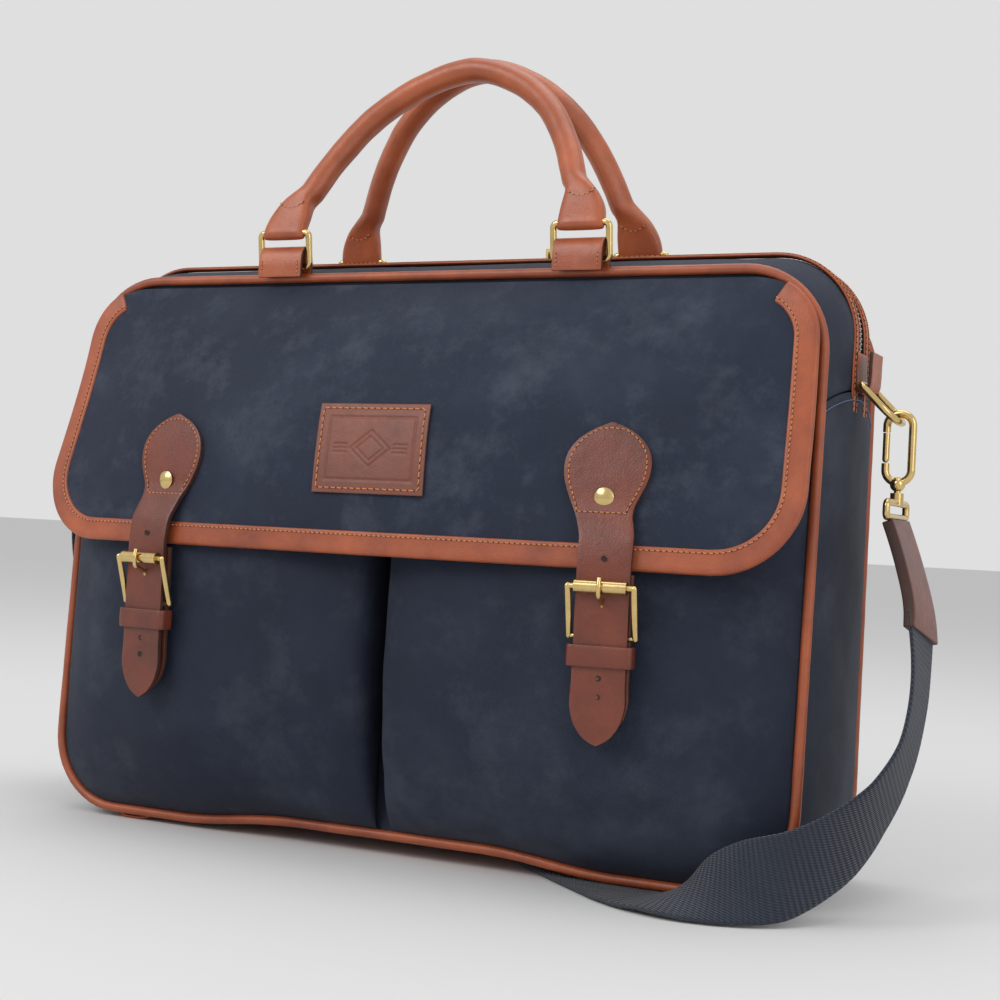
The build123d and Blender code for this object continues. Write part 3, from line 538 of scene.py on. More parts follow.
def sweep(path, up, profile, closed=False):
    """Rows of points: the profile of (out, across) carried along the path."""
    _, out, across = frames_along(path, up)
    if closed:
        path = np.array(path, float)
        ahead = np.roll(path, -1, axis=0) - np.roll(path, 1, axis=0)
        ahead /= np.linalg.norm(ahead, axis=1)[:, None]
        up = np.broadcast_to(np.array(up, float), path.shape)
        out = up - ahead * np.sum(up * ahead, axis=1)[:, None]
        out /= np.linalg.norm(out, axis=1)[:, None]
        across = np.cross(ahead, out)
    rows = []
    for i, spot in enumerate(np.array(path, float)):
        rows.append([spot + out[i] * a + across[i] * b for a, b in profile])
    return rows


def ring_profile(radius, count=16):
    return [(radius * math.cos(2 * math.pi * k / count), radius * math.sin(2 * math.pi * k / count))
            for k in range(count)]


def capsule(points, faces, middle, along, out, length, radius):
    """Adds one stitch: a short rounded thread."""
    across = along.cross(out)
    base = len(points)
    for share, size in ((-0.5, 0.25), (-0.38, 0.85), (0.0, 1.0), (0.38, 0.85), (0.5, 0.25)):
        for k in range(6):
            angle = 2 * math.pi * k / 6
            points.append(middle + along * (length * share)
                          + (out * math.sin(angle) + across * math.cos(angle)) * radius * size)
    for ring in range(4):
        for k in range(6):
            a, b = base + ring * 6 + k, base + ring * 6 + (k + 1) % 6
            faces.append((a, b, b + 6, a + 6))
    faces.append(tuple(base + k for k in range(5, -1, -1)))
    faces.append(tuple(base + 24 + k for k in range(6)))


def stitch_row(name, path, normals, body, pitch=2.7, thread=THREAD, radius=0.38, slant=0.10,
               sink=0.05):
    """A row of stitches with a near-black disc between each two: painted shade for the needle hole."""
    path, normals = np.array(path, float), np.array(normals, float)
    steps = np.r_[0, np.cumsum(np.linalg.norm(np.diff(path, axis=0), axis=1))]
    count = max(2, int(round(steps[-1] / pitch)))
    places = (np.arange(count) + 0.5) * steps[-1] / count
    points, faces, holes, hole_faces = [], [], [], []

    def at(value, table):
        return Vector([np.interp(value, steps, table[:, i]) for i in range(3)])
    for place in places:
        out = at(place, normals).normalized()
        along = (at(place + 0.6, path) - at(place - 0.6, path)).normalized()
        along = (along + along.cross(out) * slant).normalized()
        capsule(points, faces, at(place, path) + out * (radius * 0.45 - sink), along, out,
                pitch * 0.78, radius)
        # Dark disc at the needle hole between two stitches: painted shade.
        capsule(holes, hole_faces, at(place + pitch / 2, path) + out * 0.02, along, out, 0.75, 0.30)
    piece = link(name, make_mesh(name, points, faces), thread, body)
    link(name + "_holes", make_mesh(name + "_holes", holes, hole_faces), HOLE_SHADE, body)
    return piece


# ---------------------------------------------------------------- the body
def gusset_rows(y_from, y_to, steps, keep, start_low, lift=0.0, seed=1.0, soft=1.0):
    """Points of the band between the seams, from depth y_from to y_to (None is the seam)."""
    plain = body_loop(start_low=start_low)
    full = body_loop(SIDE_DOME, TOP_DOME, 0.0, start_low)
    kept = np.nonzero(keep(plain))[0]
    rows = []
    for share in np.linspace(0, 1, steps):
        row = []
        for (x, z), (wide_x, wide_z) in zip(plain[kept], full[kept]):
            near = front_y(z) if y_from is None else y_from
            far = REAR_Y if y_to is None else y_to
            y = near + (far - near) * share
            middle = (y - front_y(z)) / (REAR_Y - front_y(z))
            wave = 4 * middle * (1 - middle)
            spot = Vector((x + (wide_x - x) * wave, y, z + (wide_z - z) * wave))
            out = Vector((spot.x - np.clip(spot.x, -171, 171), 0, spot.z - np.clip(spot.z, 45, 257)))
            out = out.normalized()
            crease = soft * wave ** 0.7 * (
                1.3 * ripple((spot.x, y * 0.7, spot.z), 55, seed)
                + 0.6 * ripple(spot, 22, seed + 3))
            free = np.clip((spot.z - 14) / 30, 0, 1)
            row.append(spot + out * float(lift + crease * free))
        rows.append(row)
    return rows[::-1]


def make_gussets():
    low = gusset_rows(None, None, 25, lambda loop: loop[:, 1] <= HEM_Z, False, 0.9, 1.0, 1.3)
    piece = link("lower_gusset_canvas", grid_mesh("lower_gusset_canvas", low), CANVAS, "bag",
                 ["lower_gusset"])
    thicken(piece, 1.8, -1.0)
    hem = np.array([row[0] for row in low]), np.array([row[-1] for row in low])
    for name, line in zip(("right", "left"), hem):
        lower = line + np.array((0, 0, -4.0))
        side = np.where(line[:, :1] > 0, 1.0, -1.0) * np.array([[1.0, 0, 0]])
        stitch_row(f"hem_stitches_{name}", lower + side * 0.1, side, "bag",
                   3.0, BLUE_THREAD, 0.30)
    for name, y0, y1, seed in (("front", None, CREST_Y - 7.5, 4.0), ("rear", CREST_Y + 7.5, None, 6.0)):
        rows = gusset_rows(y0, y1, 11, lambda loop: loop[:, 1] >= HEM_Z - 6, True, -0.4, seed, 0.8)
        piece = link(f"top_gusset_{name}_canvas", grid_mesh(f"top_gusset_{name}_canvas", rows),
                     CANVAS, "bag", [f"top_gusset_{name}"])
        thicken(piece, 1.6, -1.0)


def crest_line(y, outset, low=HEM_Z - 2):
    """Line that follows the top gusset at depth y, from the right hem over to the left hem."""
    plain = body_loop()
    middle = (y - front_y(plain[:, 1])) / (REAR_Y - front_y(plain[:, 1]))
    wave = float(np.mean(4 * middle * (1 - middle)))
    loop = body_loop(SIDE_DOME * wave, TOP_DOME * wave, -outset)
    kept = loop[loop[:, 1] >= low]
    line = even(np.c_[kept[:, 0], np.full(len(kept), y), kept[:, 1]], 260)
    ahead = np.gradient(line, axis=0)
    ahead /= np.linalg.norm(ahead, axis=1)[:, None]
    out = np.cross(ahead, (0, -1, 0))
    out *= np.where(out @ np.array((0, 0, 1)) + out[:, 0] * np.sign(line[:, 0]) < 0, -1, 1)[:, None]
    return line, out


def make_zip():
    for name, y, inner in (("front", CREST_Y - 10.2, 1), ("rear", CREST_Y + 10.2, -1)):
        line, out = crest_line(y, 0.4)
        half = 4.0
        shape = [(-0.9, -half), (0.4, -half), (0.9, -half * 0.8), (1.0, 0.0), (0.9, half * 0.8),
                 (0.4, half), (-0.9, half)]
        rows = sweep(line, out, shape)
        piece = link(f"zip_edging_{name}_leather",
                     grid_mesh(f"zip_edging_{name}", rows, close_columns=True, caps=True), TAN,
                     "bag", ["zip_edgings"])
        piece.modifiers.new("smooth", "SUBSURF").render_levels = 1
        for edge in (-1, 1):
            row = line + np.array((0, edge * 2.7, 0)) + out * 1.0
            stitch_row(f"zip_stitches_{name}_{edge + 1}", row, out, "bag", 2.8, THREAD, 0.3)
        tape_line, tape_out = crest_line(CREST_Y - inner * 4.6, -1.2)
        tape = sweep(tape_line, tape_out, [(0.0, -4.2), (0.3, -4.2), (0.3, 4.2), (0.0, 4.2)])
        link(f"zip_tape_{name}_cloth", grid_mesh(f"zip_tape_{name}", tape, close_columns=True,
                                                 caps=True), TAPE, "bag", ["zip_tapes"])
    line, out = crest_line(CREST_Y, -0.5)
    steps = np.r_[0, np.cumsum(np.linalg.norm(np.diff(line, axis=0), axis=1))]
    points, faces = [], []
    count = int(steps[-1] / 1.25)
    for k in range(count):
        place = (k + 0.5) * steps[-1] / count
        spot = Vector([np.interp(place, steps, line[:, i]) for i in range(3)])
        normal = Vector([np.interp(place, steps, out[:, i]) for i in range(3)]).normalized()
        ahead = Vector((0, 1, 0)).cross(normal)
        side = 1 if k % 2 else -1
        base = len(points)
        for y, wide in ((-0.5, 0.48), (2.9, 0.40)):
            for a, b in ((-1, -0.5), (1, -0.5), (0.8, 0.45), (-0.8, 0.45)):
                points.append(spot + Vector((0, side * y, 0)) + ahead * a * wide + normal * b * 1.3)
        faces += [(base, base + 1, base + 2, base + 3), (base + 7, base + 6, base + 5, base + 4)]
        for m in range(4):
            n = (m + 1) % 4
            faces.append((base + m, base + 4 + m, base + 4 + n, base + n))
    teeth = link("zip_teeth_metal", make_mesh("zip_teeth_metal", points, faces), STEEL, "bag",
                 ["zip_teeth"])
    teeth.data.polygons.foreach_set("use_smooth", [False] * len(teeth.data.polygons))


def make_panels():
    """Front and rear panels: round sheets that sag a little between their seams."""
    for name, swell in (("front_panel", -1.0), ("rear_panel", 3.5)):
        loop = body_loop(inset=0.8)
        rows = []
        for share in np.linspace(1.0, 0.0, 26):
            row = []
            for x, z in loop:
                px, pz = x * share, 150 + (z - 150) * share
                calm = 1 - share ** 3
                push = swell * (1 - share ** 2) + calm * (
                    1.6 * ripple((px, 0, pz), 80, 9 + swell) + 0.5 * ripple((px, 0, pz), 30, 12))
                y = REAR_Y - 0.8 + push if name == "rear_panel" else front_y(pz) + 1.2 - push * 0.3
                row.append((px, y, pz))
            rows.append(row)
        piece = link(f"{name}_canvas", grid_mesh(f"{name}_canvas", rows[:-1], close_columns=True),
                     CANVAS, "bag", [name])
        set_flat_uv(piece)
        fill_middle(piece, len(loop), len(rows) - 1)


def set_flat_uv(piece):
    layer = piece.data.uv_layers["cloth"]
    for corner in piece.data.loops:
        spot = piece.data.vertices[corner.vertex_index].co
        layer.data[corner.index].uv = (spot.x, spot.z)


def fill_middle(piece, around, tall):
    """Close the hole in the middle of a round grid with one small face."""
    first = (tall - 1) * around
    mesh = piece.data
    points = [tuple(v.co) for v in mesh.vertices]
    faces = [tuple(p.vertices) for p in mesh.polygons] + [tuple(range(first, first + around))]
    mesh.clear_geometry()
    mesh.from_pydata(points, [], faces)
    mesh.polygons.foreach_set("use_smooth", [True] * len(mesh.polygons))
    uvs = mesh.uv_layers.new(name="cloth") if not mesh.uv_layers else mesh.uv_layers[0]
    for corner in mesh.loops:
        spot = mesh.vertices[corner.vertex_index].co
        uvs.data[corner.index].uv = (spot.x, spot.z)


def make_lining():
    """Thin cotton inside the body, open along the zip."""
    points, faces = [], []
    plain, full = body_loop(inset=3.2), body_loop(SIDE_DOME, TOP_DOME, 3.2)
    depths = [None, -8.0, 6.0, CREST_Y - 7.0, CREST_Y + 7.0, 54.0, 66.0, REAR_Y - 3.4]
    count = len(plain)
    for depth in depths:
        for (x, z), (wide_x, wide_z) in zip(plain, full):
            y = front_y(z) + 3.4 if depth is None else depth
            middle = (y - front_y(z)) / (REAR_Y - front_y(z))
            wave = 4 * middle * (1 - middle)
            points.append((x + (wide_x - x) * wave, y, z + (wide_z - z) * wave))
    for i in range(len(depths) - 1):
        for j in range(count):
            k = (j + 1) % count
            if depths[i] == CREST_Y - 7.0 and points[i * count + j][2] > HEM_Z:
                continue
            faces.append((i * count + j, i * count + k, (i + 1) * count + k, (i + 1) * count + j))
    faces.append(tuple(range(count)))
    faces.append(tuple(range(len(points) - count, len(points))))
    link("lining_cloth", make_mesh("lining_cloth", points, faces), LINING, "bag",
         ["lining"])


def piping_line(name):
    loop = body_loop()
    depth = front_y(loop[:, 1]) if name == "front" else np.full(len(loop), REAR_Y)
    return np.c_[loop[:, 0], depth, loop[:, 1]]


def make_piping():
    for name in ("front", "rear"):
        line = piping_line(name)
        rows = sweep(line, (0, -1, 0), ring_profile(PIPING_R, 14), closed=True)
        for i, row in enumerate(rows):
            grow = 1 + 0.05 * ripple(line[i], 9, 2)
            rows[i] = [line[i] + (np.array(p) - line[i]) * grow for p in row]
        link(f"{name}_piping_leather", grid_mesh(f"{name}_piping_leather", rows, close_rows=True,
                                                 close_columns=True), TAN, "bag",
             [f"{name}_piping"])


# across a pocket: distance from the bag's middle and share of the full depth, from the pleat
POCKET_ACROSS = [(6.0, 0.0), (3.6, 0.20), (3.4, 0.46), (5.5, 0.66), (11.0, 0.80), (22.0, 0.90),
                 (46.0, 0.97), (86.0, 1.0), (120.0, 0.96), (150.0, 0.82), (176.0, 0.60),
                 (195.0, 0.36), (205.0, 0.16), (209.5, 0.0)]
POCKET_UP = [(0.0, 0.0), (4.0, 0.16), (10.0, 0.34), (22.0, 0.56), (42.0, 0.80), (70.0, 0.95),
             (110.0, 1.0), (150.0, 1.0), (175.0, 0.97), (200.0, 0.86)]


def pocket_point(side, x, share, height):
    corner = HALF_W - CORNER_R
    floor_z = BOTTOM_Z + 2.0 + float(bottom_lift(x))
    if x > corner:
        floor_z = BOTTOM_Z + CORNER_R - math.sqrt(max(0.0, (CORNER_R - 2) ** 2 - (x - corner) ** 2))
    z = floor_z + (POCKET_TOP_Z - floor_z) * height
    rise = float(smooth(POCKET_UP, z - floor_z))
    depth = POCKET_DEPTH * share * rise
    spot = (side * x, 0, z)
    sag = 2.2 * ripple(spot, 70, 20 + side) + 0.9 * ripple(spot, 26, 31)
    pull = 1.6 * ripple((x * 0.5, 0, z * 1.8), 24, 40 + side) * math.exp(-((z - 30) / 30) ** 2)
    depth += (sag + pull) * min(1.0, share * 2) * rise
    return Vector((side * x, front_y(z) - max(depth, 0.0), z))


def make_pockets():
    across = spline(POCKET_ACROSS, 74)
    heights = np.linspace(0, 1, 64) ** 1.15
    for name, side in (("left", -1), ("right", 1)):
        rows = [[pocket_point(side, x, max(share, 0.0), h) for x, share in across]
                for h in heights]
        if side < 0:
            rows = [row[::-1] for row in rows]
        mesh = grid_mesh(f"pocket_{name}_canvas", rows)
        piece = link(f"pocket_{name}_canvas", mesh, CANVAS, "bag", [f"pocket_{name}"])
        thicken(piece, 1.4, -1.0)


# ---------------------------------------------------------------- the flap
def flap_half(z, inset=0.0):
    """Half width of the flap at height z, with its corners rounded."""
    share = (FLAP_TOP_Z - z) / (FLAP_TOP_Z - FLAP_LOW_Z)
    half = FLAP_TOP_HALF + share * (FLAP_LOW_HALF - FLAP_TOP_HALF) - inset
    low, high = FLAP_LOW_Z + inset, FLAP_TOP_Z
    low_r, high_r = 40.0 - inset, 30.0 - inset
    if z < low + low_r:
        drop = low + low_r - z
        half -= low_r - math.sqrt(max(0.0, low_r ** 2 - drop ** 2))
    if z > high - high_r:
        rise = z - high + high_r
        half -= high_r - math.sqrt(max(0.0, high_r ** 2 - rise ** 2))
    return half


FLAP_DEPTH, FLAP_BULGE = reader(FLAP_PROFILE), reader(FLAP_PROFILE, 2)


def flap_face(x, z, outset=0.0):
    """A point on the flap's face and the direction out of it."""
    def depth(px, pz):
        bulge = FLAP_BULGE(pz) * max(0.0, 1 - (px / HALF_W) ** 2)
        calm = np.clip((FLAP_TOP_Z - pz) / 25, 0, 1) * np.clip((pz - FLAP_LOW_Z) / 30, 0.15, 1)
        soft = 1.5 * ripple((px, 0, pz), 85, 50) + 0.5 * ripple((px, 0, pz), 32, 57)
        return FLAP_DEPTH(pz) - bulge - float(calm) * soft
    y = depth(x, z)
    dx = (depth(x + 1, z) - depth(x - 1, z)) / 2
    dz = (depth(x, z + 1) - depth(x, z - 1)) / 2
    out = Vector((dx, -1, dz)).normalized()
    return Vector((x, y, z)) + out * outset, out


def make_flap():
    heights = FLAP_TOP_Z - (FLAP_TOP_Z - FLAP_LOW_Z - 1.5) * np.linspace(0, 1, 70)
    rows = []
    for z in heights:
        half = flap_half(z, 1.5)
        rows.append([flap_face(x, z)[0] for x in half * np.linspace(-1, 1, 150)])
    piece = link("flap_canvas", grid_mesh("flap_canvas", rows[::-1]), CANVAS_FLAP, "flap",
                 ["flap"])
    set_flat_uv(piece)
    thicken(piece, 1.9, -1.0)


def flap_edge(inset):
    """The flap's edge from its top left corner down, along and up to the top right one."""
    down = [(-flap_half(z, inset), z) for z in np.linspace(FLAP_TOP_Z - 3.5, FLAP_LOW_Z + inset, 400)]
    edge = even(down + [(-x, z) for x, z in down[::-1]], 420)
    return edge


def make_binding():
    """Leather folded round the flap's edge, with a row of stitches near its inner side."""
    edge = flap_edge(0.0)
    ahead = np.gradient(edge, axis=0)
    ahead /= np.linalg.norm(ahead, axis=1)[:, None]
    inward = np.c_[-ahead[:, 1], ahead[:, 0]]
    section = [(10.6, 0.25), (10.3, 0.95), (9.2, 1.15), (6.0, 1.10), (3.0, 1.20), (1.0, 1.25),
               (-0.4, 0.95), (-1.1, 0.0), (-1.2, -1.2), (-0.9, -2.3), (0.0, -3.0), (2.0, -3.1),
               (6.0, -3.0), (10.0, -3.0), (10.5, -2.2)]
    rows, seam, normals = [], [], []
    for (x, z), (ix, iz) in zip(edge, inward):
        row = []
        for a, b in section:
            spot, out = flap_face(x + ix * a, z + iz * a, b)
            row.append(spot)
        rows.append(row)
        spot, out = flap_face(x + ix * 8.6, z + iz * 8.6, 1.2)
        seam.append(spot)
        normals.append(out)
    piece = link("flap_binding_leather", grid_mesh("flap_binding_leather", rows,
                                                   close_columns=True, caps=True), TAN, "flap",
                 ["flap_binding"])
    piece.modifiers.new("smooth", "SUBSURF").render_levels = 1
    stitch_row("binding_stitches", seam, normals, "flap", 2.7)


def rounded_box_points(half_w, half_h, radius, count):
    """Even points round a rounded rectangle."""
    spots = []
    for cx, cz, start in ((1, 1, 0), (-1, 1, 90), (-1, -1, 180), (1, -1, 270)):
        for k in range(9):
            angle = math.radians(start + 90 * k / 8)
            spots.append((cx * (half_w - radius) + radius * math.cos(angle),
                          cz * (half_h - radius) + radius * math.sin(angle)))
    return even(spots + spots[:1], count)


def emblem_depth(x, z):
    """Plain pressed pattern: a frame, and a diamond between two bars."""
    def groove(distance, width=0.55):
        return math.exp(-(distance / width) ** 2)
    border = groove(max(abs(x) - 24.5, abs(z) - 15.5))
    diamond = groove((abs(x) * 0.8 + abs(z)) - 9.0) + groove((abs(x) * 0.8 + abs(z)) - 6.0, 0.45)
    bars = sum(groove(abs(z) - 2.0 * k, 0.4) for k in (0, 1)) * (1.0 if 13 < abs(x) < 21 else 0.0)
    return 0.42 * min(1.0, border + diamond + bars)


def make_patch():
    half_w, half_h, middle_z = 31.3, 22.3, 204.0
    rows = []
    for z in np.linspace(-half_h, half_h, 90):
        row = []
        for x in np.linspace(-half_w, half_w, 126):
            lean = flap_face(x * 0.9, middle_z + z, 1.5 - emblem_depth(x, z))[0]
            skew = -z * 0.05
            row.append(Vector((x + skew, lean.y, lean.z)))
        rows.append(row)
    piece = link("patch_leather", grid_mesh("patch_leather", rows), [PATCH, EDGE], "flap",
                 ["patch"])
    thicken(piece, 1.3, -1.0, rim=1, smooth_level=0)
    ring = rounded_box_points(half_w - 2.4, half_h - 2.4, 1.5, 240)
    seam = [flap_face(x * 0.9, middle_z + z, 1.55)[0] for x, z in ring]
    seam = [Vector((x - z * 0.05, spot.y, spot.z)) for (x, z), spot in zip(ring, seam)]
    normals = [flap_face(x, middle_z + z)[1] for x, z in ring]
    stitch_row("patch_stitches", seam, normals, "flap", 3.7, radius=0.42)


# ---------------------------------------------------------------- closure straps
def closure_place(side, x, y, z):
    turn = math.radians(side * CLOSURE_YAW)
    return Vector((side * CLOSURE_X + x * math.cos(turn) - y * math.sin(turn),
                   CLOSURE_Y + x * math.sin(turn) + y * math.cos(turn), BAR_Z + z))


# height above the buckle's bar, depth of the strap's back in the closure's frame, half width
STRAP_LINE = [(-49.2, -6.4, 0.6), (-47.0, -6.4, 4.5), (-42.0, -6.4, 9.2), (-35.0, -6.4, 12.2),
              (-20.0, -6.4, 12.6), (0.0, -6.4, 12.6), (12.0, -6.4, 12.6), (24.0, -6.3, 12.6),
              (33.0, -6.2, 12.6), (40.0, -5.2, 12.7), (48.0, -3.4, 12.9), (54.0, -2.4, 13.3)]
# height and half width of the spade-shaped upper end
TAB_SHAPE = [(175.0, 13.3), (180.0, 14.6), (186.0, 17.2), (192.0, 19.6), (198.0, 20.6),
             (203.0, 20.2), (208.0, 18.2), (212.0, 14.8), (215.5, 10.0), (218.0, 4.9), (219.5, 0.8)]


def tab_place(side, x, z, outset):
    spot, _ = flap_face(side * TAB_X, z, 0.5 + outset)
    turn = math.radians(side * TAB_YAW)
    return Vector((spot.x + x * math.cos(turn), spot.y + x * math.sin(turn), spot.z))


def strap_point(side, share, height_z, outset):
    """A point on the strap at a height, share of the half width from its middle line."""
    if height_z >= FOLD_Z + 1.0:
        half = float(smooth(TAB_SHAPE, height_z))
        return tab_place(side, share * half, height_z, outset)
    z = height_z - BAR_Z
    half = float(smooth(STRAP_LINE, z, 2))
    y = float(smooth(STRAP_LINE, z, 1))
    return closure_place(side, share * half, y - outset, z)


def make_strap(side, name):
    """Spade-shaped tab, strap and pointed end as one piece of leather."""
    heights = even([(z, 0) for z in (BAR_Z - 49.2, 219.5)], 110)[:, 0]
    heights = np.r_[heights[0] + np.array((0.0, 0.5, 1.1)), heights[2:-2],
                    heights[-1] - np.array((1.1, 0.5, 0.0))]
    rows = []
    for z in heights:
        near_top = np.clip((z - FOLD_Z + 10) / 20, 0, 1)
        line = []
        for share in np.linspace(-1, 1, 15):
            a = strap_point(side, share, min(z, FOLD_Z), 0.9)
            b = strap_point(side, share, max(z, FOLD_Z + 1.0), 0.9)
            if z < FOLD_Z - 8 or z > FOLD_Z + 8:
                spot = strap_point(side, share, z, 0.9)
            else:
                t = near_top * near_top * (3 - 2 * near_top)
                spot = a.lerp(b, t)
                spot.z = z
            spot = spot + Vector((0, -0.25 * ripple((share * 9, side * 7, z), 11, 60), 0))
            line.append(spot)
        rows.append(line)
    for band in (FOLD_Z - 8, FOLD_Z + 8):
        near = [i for i, z in enumerate(heights) if abs(z - band) < 5]
        for i in near[1:-1]:
            rows[i] = [(a + b * 2 + c) / 4 for a, b, c in zip(rows[i - 1], rows[i], rows[i + 1])]
    mesh = grid_mesh(f"strap_leather_{name}", rows)
    piece = link(f"strap_leather_{name}", mesh, [BROWN, EDGE], None,
                 [f"strap_{name}"])
    thicken(piece, 2.3, 0.0, rim=1, smooth_level=0, bevel=0.35)
    apply_modifiers(piece)
    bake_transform(piece)
    edge = []
    for z in np.linspace(FOLD_Z + 3.5, 216.4, 60):
        half = float(smooth(TAB_SHAPE, z))
        edge.append(((half - 2.2) / half, z))
    outline = [(-share, z) for share, z in edge if share > 0.05] + [(0.0, 217.0)]
    outline += [(share, z) for share, z in edge[::-1] if share > 0.05]
    outline += [(share, FOLD_Z + 3.5) for share in np.linspace(0.8, -0.8, 12)]
    seam = [strap_point(side, share, z, 2.05 + 0.9 * float(np.clip((186 - z) / 10, 0, 1)))
            for share, z in outline]
    seam = even(seam + seam[:1], 260)
    normals = [flap_face(side * TAB_X, p[2])[1] for p in seam]
    stitch_row(f"tab_stitches_{name}", seam, normals, "flap", 2.7, radius=0.34)
    return piece


def apply_modifiers(piece):
    """Turn what the modifiers show into the piece's own mesh."""
    graph = bpy.context.evaluated_depsgraph_get()
    bpy.context.view_layer.update()
    shown = bpy.data.meshes.new_from_object(piece.evaluated_get(graph))
    piece.modifiers.clear()
    piece.data = shown


def make_backing(side, name):
    """The ply behind the strap that the buckle and keeper are sewn to."""
    shape = [(-46.5, 0.8), (-44.0, 5.5), (-39.0, 10.5), (-32.0, 13.2), (-20.0, 13.4),
             (20.0, 13.4), (30.0, 13.4)]
    rows = []
    for z in np.linspace(-46.5, 29.0, 48):
        half = float(smooth(shape, z))
        rows.append([closure_place(side, share * half, -3.7 - 0.2 * ripple((z, side * 9, 3), 12, 71),
                                   z) for share in np.linspace(-1, 1, 11)])
    piece = link(f"backing_leather_{name}", grid_mesh(f"backing_leather_{name}", rows),
                 [BROWN, EDGE], f"closure_{name}", [f"strap_backing_{name}"])
    thicken(piece, 2.1, 0.0, rim=1, smooth_level=0, bevel=0.3)


def make_keeper(side, name):
    """Leather loop that holds the strap's end down."""
    ring = rounded_box_points(15.6, 4.7, 2.6, 64)[:-1]
    rows = []
    for z in np.linspace(-13.5, -3.5, 7):
        pinch = 0.35 * math.cos((z + 8.5) / 10 * math.pi)
        rows.append([closure_place(side, x * (1 + 0.004 * pinch), -5.7 + y - (pinch if y < 0 else 0),
                                   z) for x, y in ring])
    piece = link(f"keeper_leather_{name}", grid_mesh(f"keeper_leather_{name}", rows,
                                                     close_columns=True),
                 [BROWN, EDGE], f"closure_{name}", [f"strap_keeper_{name}"])
    thicken(piece, 1.5, -1.0, rim=1, smooth_level=0, bevel=0.3)


def make_strap_hole_shade(side, name):
    # Near-black discs on the strap's face in place of its punched holes: painted shade.
    points, faces = [], []
    for z in (36.0, -18.5, -27.0):
        middle = closure_place(side, 0, -8.62, z)
        base = len(points)
        for k in range(16):
            angle = 2 * math.pi * k / 16
            points.append(middle + Vector((1.35 * math.cos(angle), 0, 1.35 * math.sin(angle))))
        points.append(middle + Vector((0, 0.3, 0)))
        faces += [(base + k, base + (k + 1) % 16, base + 16) for k in range(16)]
    link(f"strap_holes_{name}", make_mesh(f"strap_holes_{name}", points, faces), HOLE_SHADE,
         f"closure_{name}")


# ---------------------------------------------------------------- handles
def upper_bar(y, lean):
    angle = math.radians(lean)
    return y + RING_HIGH * math.sin(angle), RING_BAR_Z + RING_HIGH * math.cos(angle)


def handle_section(flange):
    """Round roll with a sewn flange on one side."""
    shape = []
    for k in range(20):
        angle = 2 * math.pi * k / 20
        out, across = HANDLE_R * 0.94 * math.cos(angle), HANDLE_R * 0.94 * math.sin(angle)
        if flange * out > 0:
            out += flange * 2.0 * (1 - abs(math.sin(angle))) ** 1.5
        shape.append((out, across))
    return shape


def make_handle(name, y, ring_lean, lean, flange):
    bar_y, bar_z = upper_bar(y, ring_lean)
    curve = spline(HANDLE_CURVE + [(-x, s) for x, s in HANDLE_CURVE[-2::-1]], 120)
    tilt = math.radians(lean)

    def place(x, s, out=0.0):
        return Vector((x, bar_y + s * math.sin(tilt) + out * math.cos(tilt),
                       bar_z + s * math.cos(tilt) - out * math.sin(tilt)))
    path = [place(x, s) for x, s in curve]
    up = (0, math.cos(tilt), -math.sin(tilt))
    rows = sweep(path, up, handle_section(flange))
    for i, row in enumerate(rows):
        for k, p in enumerate(row):
            bump = 0.30 * ripple(p, 16, 80) + 0.14 * ripple(p, 6, 84)
            away = (Vector(p) - path[i]).normalized()
            row[k] = Vector(p) + away * bump
    foot_rows = {}
    for side, end in ((1, rows[0]), (-1, rows[-1])):
        foot_rows[side] = foot_sections(place, side, end)
    rows = foot_rows[1][::-1] + rows + foot_rows[-1]
    piece = link(f"{name}_handle_leather", grid_mesh(f"{name}_handle_leather", rows,
                                                     close_columns=True, caps=True), HANDLE_TAN,
                 f"{name}_handle", [f"{name}_handle"])
    piece.modifiers.new("smooth", "SUBSURF").render_levels = 1
    seam = []
    side_dir = Vector(up) * flange
    for i in range(2, 118):
        seam.append(path[i] + side_dir * (HANDLE_R * 0.94 + 0.6))
    centre = place(0, 45)
    for shift in (-1, 1):
        line = []
        for p in seam:
            toward = (centre - p).normalized()
            line.append(p - side_dir * 1.9 + toward * shift * -3.1)
        turned = [((centre - p).normalized() * -shift + side_dir * 1.2).normalized() for p in seam]
        stitch_row(f"{name}_handle_stitches_{shift + 1}", line, turned, f"{name}_handle", 3.0)
    for side in (-1, 1):
        arc = []
        for k in np.linspace(-1, 1, 24):
            rise = 13.0 + 3.5 * k * k
            arc.append(place(side * (LOOP_X - 2.0) + k * 7.5, rise, -4.2 - 0.16 * (rise - 10)))
        stitch_row(f"{name}_foot_stitches_{side + 1}", arc, [-Vector(up)] * 24,
                   f"{name}_handle", 2.7)


